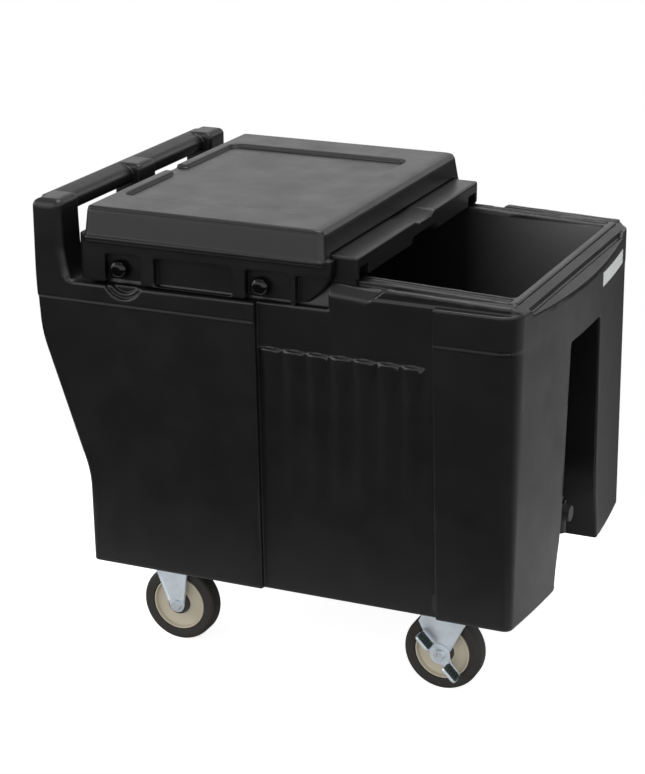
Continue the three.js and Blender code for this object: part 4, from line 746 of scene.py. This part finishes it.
def axle_bolt(x, y, z, head_y, socket):
    reach = np.hypot(x, z)
    seat = -head_y - AXLE_HEAD_SEAT
    shank = rmax(reach - SHANK_RADIUS, slab(y, seat, SHANK_END), SLIGHT)
    washer = slab(y, -head_y - AXLE_WASHER_THICK, -head_y)
    washer = rmax(reach - AXLE_WASHER_RADIUS, washer, CRISP)
    head = bolt_head(x, z, seat - y, AXLE_HEAD_ACROSS, AXLE_HEAD_HEIGHT)
    if socket:
        square = rmax(np.abs(x), np.abs(z)) - SQUARE_HALF
        head = cut(head, rmax(square, y + head_y + SQUARE_FLOOR), CRISP)
    return rmin(rmin(shank, washer), head)


# A knob of the cover, about its stud, with its foot at y = 0
KNOB_RADIUS, LOBE_DEPTH, LOBES = 15.5, 0.2, 6
KNOB_TOP, KNOB_ROUND, KNOB_FOOT, KNOB_FOOT_EDGE, KNOB_FOOT_Y = 17.0, 11.0, 5.2, 1.4, 273.3
NECK_RADIUS, NECK_TOP = 9.5, 8.0
STUD_RADIUS, STUD_END, STUD_TOP, STUD_EDGE = 3.8, -28.0, 4.0, 0.6


def cover_knob(x, y, z):
    reach = np.hypot(x, z)
    lobed = reach - (KNOB_RADIUS - LOBE_DEPTH * (1 - np.cos(LOBES * np.arctan2(z, x))))
    head = rmax(rmax(lobed, y - KNOB_TOP, KNOB_ROUND), KNOB_FOOT - y, KNOB_FOOT_EDGE)
    neck = rmax(reach - NECK_RADIUS, slab(y, 0, NECK_TOP))
    stud = rmax(reach - STUD_RADIUS, slab(y, STUD_END, STUD_TOP), STUD_EDGE)
    return rmin(rmin(head, neck, MILD), stud, CRISP)


# Wheels: half profiles of (radius, height), from the bore outwards
TYRE_INNER = [(45.35, -13.6), (46.3, -15.3), (47.6, -15.9), (49.2, -15.6), (50.4, -15.9), (55.5, -16.0)]
TYRE_SHOULDER = arc_points(56.6, -9.1, 6.9, -90, -8, 10)
TYRE_TREAD = [(63.45, -5.0)]
HUB_BEARING = [(8.3, -17.6), (9.0, -18.4), (15.8, -18.5), (17.0, -17.9), (17.7, -16.6), (18.6, -10.6)]
HUB_DISH = [(19.8, -9.2), (21.5, -8.7), (39.9, -8.7), (41.0, -9.0), (41.7, -10.2)]
HUB_RING = [(42.2, -14.4), (42.8, -15.2), (43.8, -15.3), (44.6, -14.8), (44.95, -13.4)]
TYRE_STEPS, HUB_STEPS = 128, 96
BEARING_RADIUS = 19.0 * MM


def wheel_part(name, half, steps):
    return lathe(name, half + [(r, -h) for r, h in reversed(half)], steps)


def hub_mesh(name):
    mesh = wheel_part(name, HUB_BEARING + HUB_DISH + HUB_RING, HUB_STEPS)
    # The bearing at the middle has its own finish
    for face in mesh.polygons:
        face.material_index = int(math.hypot(face.center.x, face.center.z) < BEARING_RADIUS)
    return mesh


# Finishes. Lengths in the patterns are in metres, so a scale of 1000 is about a millimetre.
COLOUR_A, COLOUR_B, COLOUR_OUT = 6, 7, 2
NOISE_RANGE = (0.3, 0.7)


class Graph:
    """The nodes of a material or of the world, with the place that its patterns follow."""

    def __init__(self, owner, place=None):
        owner.use_nodes = True
        self.owner, self.tree = owner, owner.node_tree
        if place:
            self.where = self.add("TexCoord", {}, place)

    def fill(self, node, inputs):
        """Inputs by name or number: sockets are linked, and other values are set."""
        for key, value in inputs.items():
            if isinstance(value, bpy.types.NodeSocket):
                self.tree.links.new(value, node.inputs[key])
            else:
                node.inputs[key].default_value = value

    def add(self, kind, inputs, output=0, **settings):
        """One output of a new node."""
        node = self.tree.nodes.new("ShaderNode" + kind)
        for key, value in settings.items():
            setattr(node, key, value)
        self.fill(node, inputs)
        return node.outputs[output]

    def finish(self, kind, surface):
        """The output of a tree that was cleared."""
        self.fill(self.tree.nodes.new("ShaderNode" + kind), {"Surface": surface})

    def noise(self, scale, detail=3.0, rough=0.55, stretch=None):
        where = self.where
        if stretch:
            where = self.add("Mapping", {"Scale": stretch, "Vector": where})
        inputs = {"Scale": scale, "Detail": detail, "Roughness": rough, "Vector": where}
        return self.add("TexNoise", inputs, "Fac")

    def spread(self, fac, low, high, to_low=0.0, to_high=1.0, easing="LINEAR"):
        """A value between low and high, mapped to the values between to_low and to_high."""
        inputs = {"Value": fac, "From Min": low, "From Max": high, "To Min": to_low, "To Max": to_high}
        return self.add("MapRange", inputs, "Result", interpolation_type=easing)

    def eased(self, fac, *places):
        return self.spread(fac, *places, easing="SMOOTHSTEP")

    def blend(self, fac, a, b):
        """Two colours, each a socket or a constant, blended."""
        a, b = (c if isinstance(c, bpy.types.NodeSocket) else (*c, 1.0) for c in (a, b))
        return self.add("Mix", {0: fac, COLOUR_A: a, COLOUR_B: b}, COLOUR_OUT, data_type="RGBA")

    def mixed(self, fac, a, b):
        """Two values, each a socket or a constant, blended."""
        return self.add("Mix", {"Factor": fac, "A": a, "B": b}, data_type="FLOAT")

    def times(self, a, b):
        return self.add("Math", {0: a, 1: b}, operation="MULTIPLY")

    def axes(self):
        node = self.tree.nodes.new("ShaderNodeSeparateXYZ")
        self.fill(node, {0: self.where})
        return (node.outputs[axis] for axis in "XYZ")

    def bumped(self, *layers):
        """Bump layers of (height, distance in metres, strength), coarsest first."""
        last = {}
        for height, distance, strength in layers:
            inputs = {"Height": height, "Distance": distance, "Strength": strength}
            last = {"Normal": self.add("Bump", inputs | last)}
        return last

    def finished(self, colour, rough, inputs, bumps):
        """The material, with what was made for the inputs of its shader and with its bumps."""
        inputs = {"Base Color": colour, "Roughness": rough} | inputs | self.bumped(*bumps)
        self.fill(self.tree.nodes["Principled BSDF"], inputs)
        return self.owner


# Where painted light lightens the long walls of the well, in metres: it fades in along X, and is cut off
# # at the front wall, on both sides of the wall's face, near the floor and at the lip
PAINTED_LIGHT_COLOUR = (0.13, 0.13, 0.13)
PAINTED_LIGHT_FADE = (0.12, 0.34)
PAINTED_LIGHT_FRONT, PAINTED_LIGHT_RIM = (0.362, 0.372, 1.0, 0.0), (0.2255, 0.2265, 1.0, 0.0)
PAINTED_LIGHT_TOP = (0.6595, 0.6625, 1.0, 0.0)
PAINTED_LIGHT_FACE, PAINTED_LIGHT_FLOOR = (0.200, 0.206), (0.22, 0.30)


def well_painted_light(graph):
    """How much painted light the long walls of the well get: more towards the front."""
    x, y, z = graph.axes()
    aside = graph.add("Math", {0: y}, operation="ABSOLUTE")
    fac = graph.spread(x, *PAINTED_LIGHT_FADE)
    limits = ((x, PAINTED_LIGHT_FRONT), (aside, PAINTED_LIGHT_FACE), (aside, PAINTED_LIGHT_RIM), (z, PAINTED_LIGHT_FLOOR), (z, PAINTED_LIGHT_TOP))
    for value, limit in limits:
        fac = graph.times(fac, graph.spread(value, *limit))
    return fac


def moulded(name, dark, light, rough, specular, peel, peel_scale=620.0, scuffs=0.5):
    """A moulded plastic with an orange-peel skin, faint clouding and scuffs."""
    graph = Graph(bpy.data.materials.new(name), "Object")
    colour = graph.blend(graph.spread(graph.noise(7.0, 4.0), *NOISE_RANGE), dark, light)
    worn = graph.spread(graph.noise(60.0, 6.0, 0.7, (0.35, 1.0, 2.4)), 0.66, 0.84, 0.0, scuffs)
    colour = graph.blend(worn, colour, tuple(min(1.0, 2.2 * c + 0.004) for c in light))
    # The tub's plastic also gets painted light: a pale colour on the long walls of the well, stronger
    # towards the front
    if name == "shell_plastic":
        colour = graph.blend(well_painted_light(graph), colour, PAINTED_LIGHT_COLOUR)
    patchy = graph.spread(graph.noise(16.0, 5.0, 0.6), *NOISE_RANGE, rough - 0.03, rough + 0.04)
    waves = (graph.noise(28.0, 2.0), 0.0001, 0.5)
    skin = (graph.noise(peel_scale, 3.0, 0.6), peel, 1.0)
    return graph.finished(colour, patchy, {"Specular IOR Level": specular}, (waves, skin))


def plated(name, dark, light, rough):
    """Plated or bare steel, with the plating's faint clouds and streaks."""
    graph = Graph(bpy.data.materials.new(name), "Object")
    colour = graph.blend(graph.spread(graph.noise(40.0, 5.0, 0.65), *NOISE_RANGE), dark, light)
    spots = graph.spread(graph.noise(260.0, 2.0), 0.66, 0.74, 0.0, 0.35)
    colour = graph.blend(spots, colour, tuple(c * 0.55 for c in dark))
    streak = graph.noise(420.0, 3.0, 0.6)
    streaky = graph.spread(streak, *NOISE_RANGE, rough - 0.07, rough + 0.1)
    bumps = ((graph.noise(90.0), 0.0002, 0.5), (streak, 0.00004, 0.8))
    return graph.finished(colour, streaky, {"Metallic": 0.92}, bumps)


def rubber(name, dark, light, rough):
    """Rubber or foam with a fine grain, clouds and a little dust."""
    graph = Graph(bpy.data.materials.new(name), "Object")
    cloud = graph.spread(graph.noise(55.0, 5.0, 0.7), *NOISE_RANGE)
    dust = graph.spread(graph.noise(600.0, 3.0, 0.7), 0.5, 0.75, 0.0, 0.4)
    colour = graph.blend(dust, graph.blend(cloud, dark, light), tuple(min(1.0, 1.7 * c) for c in light))
    cloudy = graph.spread(cloud, 0, 1, rough - 0.08, rough + 0.08)
    grain = (graph.noise(1500.0, 3.0, 0.7), 0.00008, 0.8)
    return graph.finished(colour, cloudy, {"Specular IOR Level": 0.35}, (grain,))


# Moulded: dark and light colour, roughness, specular level, depth of the peel in metres, and where it
# differs the peel's scale and the scuffs. The others: dark and light colour, roughness.
MOULDED = {
    "shell_plastic": ((0.0026, 0.0026, 0.0027), (0.0042, 0.0042, 0.0043), 0.36, 0.5, 0.00007),
    "lid_plastic": ((0.0030, 0.0030, 0.0032), (0.0046, 0.0046, 0.0049), 0.36, 0.5, 0.00007),
    "knob_plastic": ((0.002, 0.002, 0.002), (0.0034, 0.0034, 0.0036), 0.13, 0.3, 0.00001, 300.0, 0.2),
    "white_plastic": ((0.66, 0.66, 0.62), (0.74, 0.74, 0.71), 0.42, 0.5, 0.00004),
    "grey_plastic": ((0.016, 0.0165, 0.017), (0.026, 0.0265, 0.027), 0.42, 0.5, 0.00004),
    "hub_plastic": ((0.48, 0.43, 0.33), (0.56, 0.51, 0.40), 0.45, 0.45, 0.00003, 900.0, 0.25),
    "bearing": ((0.02, 0.021, 0.023), (0.032, 0.033, 0.036), 0.4, 0.5, 0.00003),
    "label_vinyl": ((0.88, 0.89, 0.90), (0.94, 0.94, 0.94), 0.35, 0.5, 0.00002, 500.0, 0.1),
}
PLATED = {
    "zinc": ((0.62, 0.69, 0.75), (0.78, 0.84, 0.89), 0.38),
    "steel": ((0.50, 0.54, 0.58), (0.66, 0.70, 0.74), 0.3),
    "brass": ((0.44, 0.30, 0.10), (0.56, 0.40, 0.17), 0.32),
}
RUBBERS = {
    "tyre_rubber": ((0.018, 0.0165, 0.0155), (0.028, 0.026, 0.024), 0.62),
    "pad_rubber": ((0.024, 0.040, 0.038), (0.036, 0.056, 0.053), 0.7),
    "gasket": ((0.012, 0.012, 0.012), (0.02, 0.02, 0.02), 0.75),
    "foam": ((0.52, 0.45, 0.29), (0.62, 0.55, 0.37), 0.9),
}
FINISHES = {}
for make, looks in ((moulded, MOULDED), (plated, PLATED), (rubber, RUBBERS)):
    FINISHES |= {name: make(name, *look) for name, look in looks.items()}
for row in frame["record"]["subparts"]:
    for holder in frame["nodes"][row["node"]].material_slots:
        holder.material = FINISHES[row["material_slot"]]

# The moulded pieces. SHELL_STEP and the like are the sizes of the grids' cells.
SHELL_STEP, HOOD_STEP, LID_STEP = 2.0, 1.3, 1.3
SHELL_BOX = (REAR - 6, FRONT + 6, HALF + 6, -8, POST_TOP + 8)
HOOD_BOX = (COVER_REAR - 6, COVER_FRONT + 6, HALF + 6, SKIRT_FOOT - 6, COVER_TOP + 6)
shell = both_sides("tub_skin", SHELL_BOX, SHELL_STEP, tub_field)
show("tub_skin", shell, "tub", "shell_plastic", "body_shell")
hood = both_sides("cover_skin", HOOD_BOX, HOOD_STEP, cover_field)
show("cover_skin", hood, "tub", "shell_plastic", "rear_cover")
lid = small("lid_skin", lid_field, LID_BOX, LID_STEP)
lid.transform(shift(LID_FRONT, 0, FLOOR + LID_FOOT))
show("lid_skin", lid, "lid", "lid_plastic", "sliding_lid")


def add(kind, master, label, place, body, slot, node):
    """A copy of a master mesh at its place, for the CAD node of the same sub-part."""
    mesh = master.copy()
    mesh.transform(place)
    show(f"{kind}_{label}", mesh, body, slot, f"{node}_{label}")
    if kind == "hub_skin":
        mesh.materials.append(FINISHES["bearing"])


def turned(angle, axis):
    return Matrix.Rotation(angle, 4, axis)


# Knobs of the cover
KNOB_BOX = (-KNOB_RADIUS, KNOB_RADIUS, STUD_END, KNOB_TOP, -KNOB_RADIUS, KNOB_RADIUS)
KNOB_STEP = 0.4
SIDES = (("left", 1), ("right", -1))
knob = small("knob_master", cover_knob, KNOB_BOX, KNOB_STEP)
for end, setback in KNOB_SETBACKS.items():
    for side, sign in SIDES:
        label = f"{end}_{side}"
        place = shift(REAR + setback, sign * KNOB_FOOT_Y, FLOOR + KNOB_Z)
        place = place @ turned(0 if sign > 0 else math.pi, "Z")
        add("knob_skin", knob, label, place, f"knob_{label}", "knob_plastic", "cover_knob")

# Casters
FORK_STEP, LEVER_STEP, PAD_STEP, BOLT_STEP = 0.75, 0.55, 0.4, 0.45
RIGID_BOX = (-66, 38, -42, 42, -13, PLATE_TOP)
SWIVEL_BOX = (-60, 39, -39, 39, -13, CROWN + 5)
SWIVEL_PLATE_BOX = (-52, 52, -42, 42, CROWN - 9, PLATE_TOP)
LEVER_BOX, PAD_BOX = (-47, 47, -48, -23, -17, 17), (-14, 14, -9, 9, 0, 5)
REAR_BOLT_BOX, FRONT_BOLT_BOX = (-10, 10, -30, 32, -10, 10), (-10, 10, -33, 32, -10, 10)
LEVER_TURN = 0.8
rear_fork = small("rear_fork", rigid_fork, RIGID_BOX, FORK_STEP)
front_fork = small("front_fork", swivel_fork, SWIVEL_BOX, FORK_STEP)
front_plate = small("front_plate", swivel_plate, SWIVEL_PLATE_BOX, FORK_STEP)
lever = small("lever_master", brake_lever, LEVER_BOX, LEVER_STEP)
pad = small("pad_master", brake_pad, PAD_BOX, PAD_STEP)
rear_bolt = small("rear_bolt", axle_bolt, REAR_BOLT_BOX, BOLT_STEP, REAR_HEAD_Y, False)
front_bolt = small("front_bolt", axle_bolt, FRONT_BOLT_BOX, BOLT_STEP, FRONT_HEAD_Y, True)
tyre = wheel_part("tyre_master", TYRE_INNER + TYRE_SHOULDER + TYRE_TREAD, TYRE_STEPS)
hub = hub_mesh("hub_master")


def add_wheel(label, place, body, bolt):
    """An axle bolt on a body, and the wheel on it."""
    add("bolt_skin", bolt, label, place, body, "steel", "axle_bolt")
    add("tyre_skin", tyre, label, place, f"wheel_{label}", "tyre_rubber", "tyre")
    add("hub_skin", hub, label, place, f"wheel_{label}", "hub_plastic", "wheel_hub")


for side, sign in SIDES:
    label = f"rear_{side}"
    place = shift(REAR_AXLE, sign * TRACK, AXLE)
    add("fork_skin", rear_fork, label, place, "tub", "zinc", "caster_fork")
    add_wheel(label, place, "tub", rear_bolt)
    # The front left caster is turned by a quarter turn
    label = f"front_{side}"
    place = shift(FRONT_SWIVEL, sign * TRACK, AXLE)
    add("plate_skin", front_plate, label, place, "tub", "zinc", "caster_plate")
    place = place @ turned(math.pi / 2 if sign > 0 else 0, "Z")
    add("fork_skin", front_fork, label, place, f"swivel_{label}", "zinc", "caster_fork")
    place = place @ shift(-TRAIL, 0, 0)
    add_wheel(label, place, f"swivel_{label}", front_bolt)
    place = place @ turned(LEVER_TURN, "Y")
    add("lever_skin", lever, label, place, f"brake_{label}", "zinc", "brake_lever")
    for which, end in (("on", -1), ("off", 1)):
        tread = place @ shift(end * PAD_ALONG, -PAD_OUT, 0)
        add(f"pad_skin_{which}", pad, label, tread, f"brake_{label}", "pad_rubber", f"brake_pad_{which}")
for master in (knob, rear_fork, front_fork, front_plate, lever, pad, rear_bolt, front_bolt, tyre, hub):
    bpy.data.meshes.remove(master)

# A blank label on the front, near its far top corner, bent with the tub's bow
LABEL_Y, LABEL_Z, LABEL_PROUD, LABEL_BACK = (84.0, 232.0), (438.5, 461.0), 0.35, -0.6
LABEL_COLUMNS, LABEL_ROWS = 40, 8


def front_label():
    points, faces = [], []
    for proud in (LABEL_PROUD, LABEL_BACK):
        for z in np.linspace(*LABEL_Z, LABEL_ROWS):
            for y in np.linspace(*LABEL_Y, LABEL_COLUMNS):
                x = float(front_x(np.array(y), np.array(z)))
                points.append(((x + proud) * MM, y * MM, (z + FLOOR) * MM))
    n, rows = LABEL_COLUMNS, LABEL_ROWS
    back = n * rows
    for a in (i * n + j for i in range(rows - 1) for j in range(n - 1)):
        faces.append((a, a + 1, a + n + 1, a + n))
        b = a + back
        faces.append((b, b + n, b + n + 1, b + 1))
    # The rim, once round the border from the first corner
    border = list(range(n)) + [i * n + n - 1 for i in range(1, rows)]
    border += [(rows - 1) * n + j for j in range(n - 2, -1, -1)] + [i * n for i in range(rows - 2, 0, -1)]
    for a, b in zip(border, border[1:] + border[:1]):
        faces.append((a, a + back, b + back, b))
    return mesh_of("front_label", points, faces)


show("front_label", front_label(), "tub", "white_plastic", finish="label_vinyl")

# Stage: a white floor, soft lamps, and a white room that the camera and the gloss see
scene = bpy.context.scene
FLOOR_X, FLOOR_Y = (-1.2, 0.8), (-0.62, 0.52)
WHITE, FLOOR_WHITE, FLOOR_LIFT = (1, 1, 1, 1), (0.8, 0.8, 0.8, 1), 0.8


def placed(name, data):
    obj = bpy.data.objects.new(name, data)
    scene.collection.objects.link(obj)
    return obj


def stage_floor():
    """A floor that keeps the shadow, lifted to white for the camera by some light of its own."""
    (x0, x1), (y0, y1) = FLOOR_X, FLOOR_Y
    mesh = bpy.data.meshes.new("floor")
    mesh.from_pydata([(x0, y0, 0), (x1, y0, 0), (x1, y1, 0), (x0, y1, 0)], [], [(0, 1, 2, 3)])
    placed("floor", mesh)
    m = bpy.data.materials.new("floor")
    mesh.materials.append(m)
    graph = Graph(m)
    graph.tree.nodes.clear()
    strength = graph.times(graph.add("LightPath", {}, "Is Camera Ray"), FLOOR_LIFT)
    lift = graph.add("Emission", {"Color": WHITE, "Strength": strength})
    white = graph.add("BsdfDiffuse", {"Color": FLOOR_WHITE})
    graph.finish("OutputMaterial", graph.add("AddShader", {0: white, 1: lift}))


# The room by direction. Each tuple gives the first and last place of a rise along an axis, and the
# values there. BEHIND tells the front of the room from its back, and ABOVE its low part from its high
# one. Camera rays see plain white.
BEHIND, ABOVE_FRONT, ABOVE_BACK = (-0.35, 0.35, 0.0, 1.0), (-0.1, 0.08, 0.0, 1.0), (0.02, 0.2, 0.0, 1.0)
HIGH_FRONT, HIGH_BACK, LOW_FRONT = (0.3, 0.7, 2.1, 0.6), (0.34, 0.45, 1.65, 0.3), 0.05
RIGHT_X, RIGHT_Z, RIGHT_DARK = (0.17, 0.32, 0.1, 0.84), (-0.29, -0.18, 0.0, 1.0), 0.03


def white_room():
    """Bright above the horizon and weaker overhead. Below the horizon it is dark in front of the bin,
    and behind it bright at the right only, under a dark band next to the horizon."""
    scene.world = bpy.data.worlds.new("room")
    graph = Graph(scene.world)
    graph.tree.nodes.clear()
    graph.where = graph.add("TexCoord", {}, "Generated")
    x, y, z = graph.axes()
    behind = graph.eased(y, *BEHIND)
    right = graph.mixed(graph.eased(z, *RIGHT_Z), graph.eased(x, *RIGHT_X), RIGHT_DARK)
    low = graph.mixed(behind, LOW_FRONT, right)
    high = graph.mixed(behind, graph.eased(z, *HIGH_FRONT), graph.eased(z, *HIGH_BACK))
    above = graph.mixed(behind, graph.eased(z, *ABOVE_FRONT), graph.eased(z, *ABOVE_BACK))
    room = graph.add("Background", {"Strength": graph.mixed(above, low, high)})
    back = graph.add("Background", {"Color": WHITE})
    seen = graph.add("LightPath", {}, "Is Camera Ray")
    graph.finish("OutputWorld", graph.add("MixShader", {0: seen, 1: room, 2: back}))


def aim(obj, way):
    obj.rotation_euler = way.to_track_quat("-Z", "Y").to_euler()


LAMP_AIM = (0, 0, 0.4)


def lamp(name, place, size, power):
    data = bpy.data.lights.new(name, "AREA")
    data.shape = "RECTANGLE"
    data.size, data.size_y = size
    data.energy = power
    obj = placed(name, data)
    obj.location = place
    aim(obj, Vector(LAMP_AIM) - Vector(place))


stage_floor()
white_room()
lamp("top_box", (0.2, 0.3, 3.0), (2.6, 2.0), 55)
lamp("left_box", (-2.6, -1.6, 2.0), (1.4, 1.6), 18)

# Camera, from the fit to the photograph
FOCAL_PX, WIDTH_PX = 2177.0, 645.0
SHIFT_PX_X, SHIFT_PX_Y = -0.8, 0.7
SENSOR_WIDTH = 36.0
YAW, PITCH = math.radians(23.344), math.radians(18.89)
CAMERA_PLACE = (1.2944, -3.0925, 1.5551)
data = bpy.data.cameras.new("camera")
data.sensor_fit = "HORIZONTAL"
data.sensor_width = SENSOR_WIDTH
data.lens = SENSOR_WIDTH * FOCAL_PX / WIDTH_PX
data.shift_x, data.shift_y = SHIFT_PX_X / WIDTH_PX, SHIFT_PX_Y / WIDTH_PX
camera = placed("camera", data)
camera.location = CAMERA_PLACE
level = math.cos(PITCH)
aim(camera, Vector((-math.sin(YAW) * level, math.cos(YAW) * level, -math.sin(PITCH))))
scene.camera = camera
scene.view_settings.view_transform = "Standard"
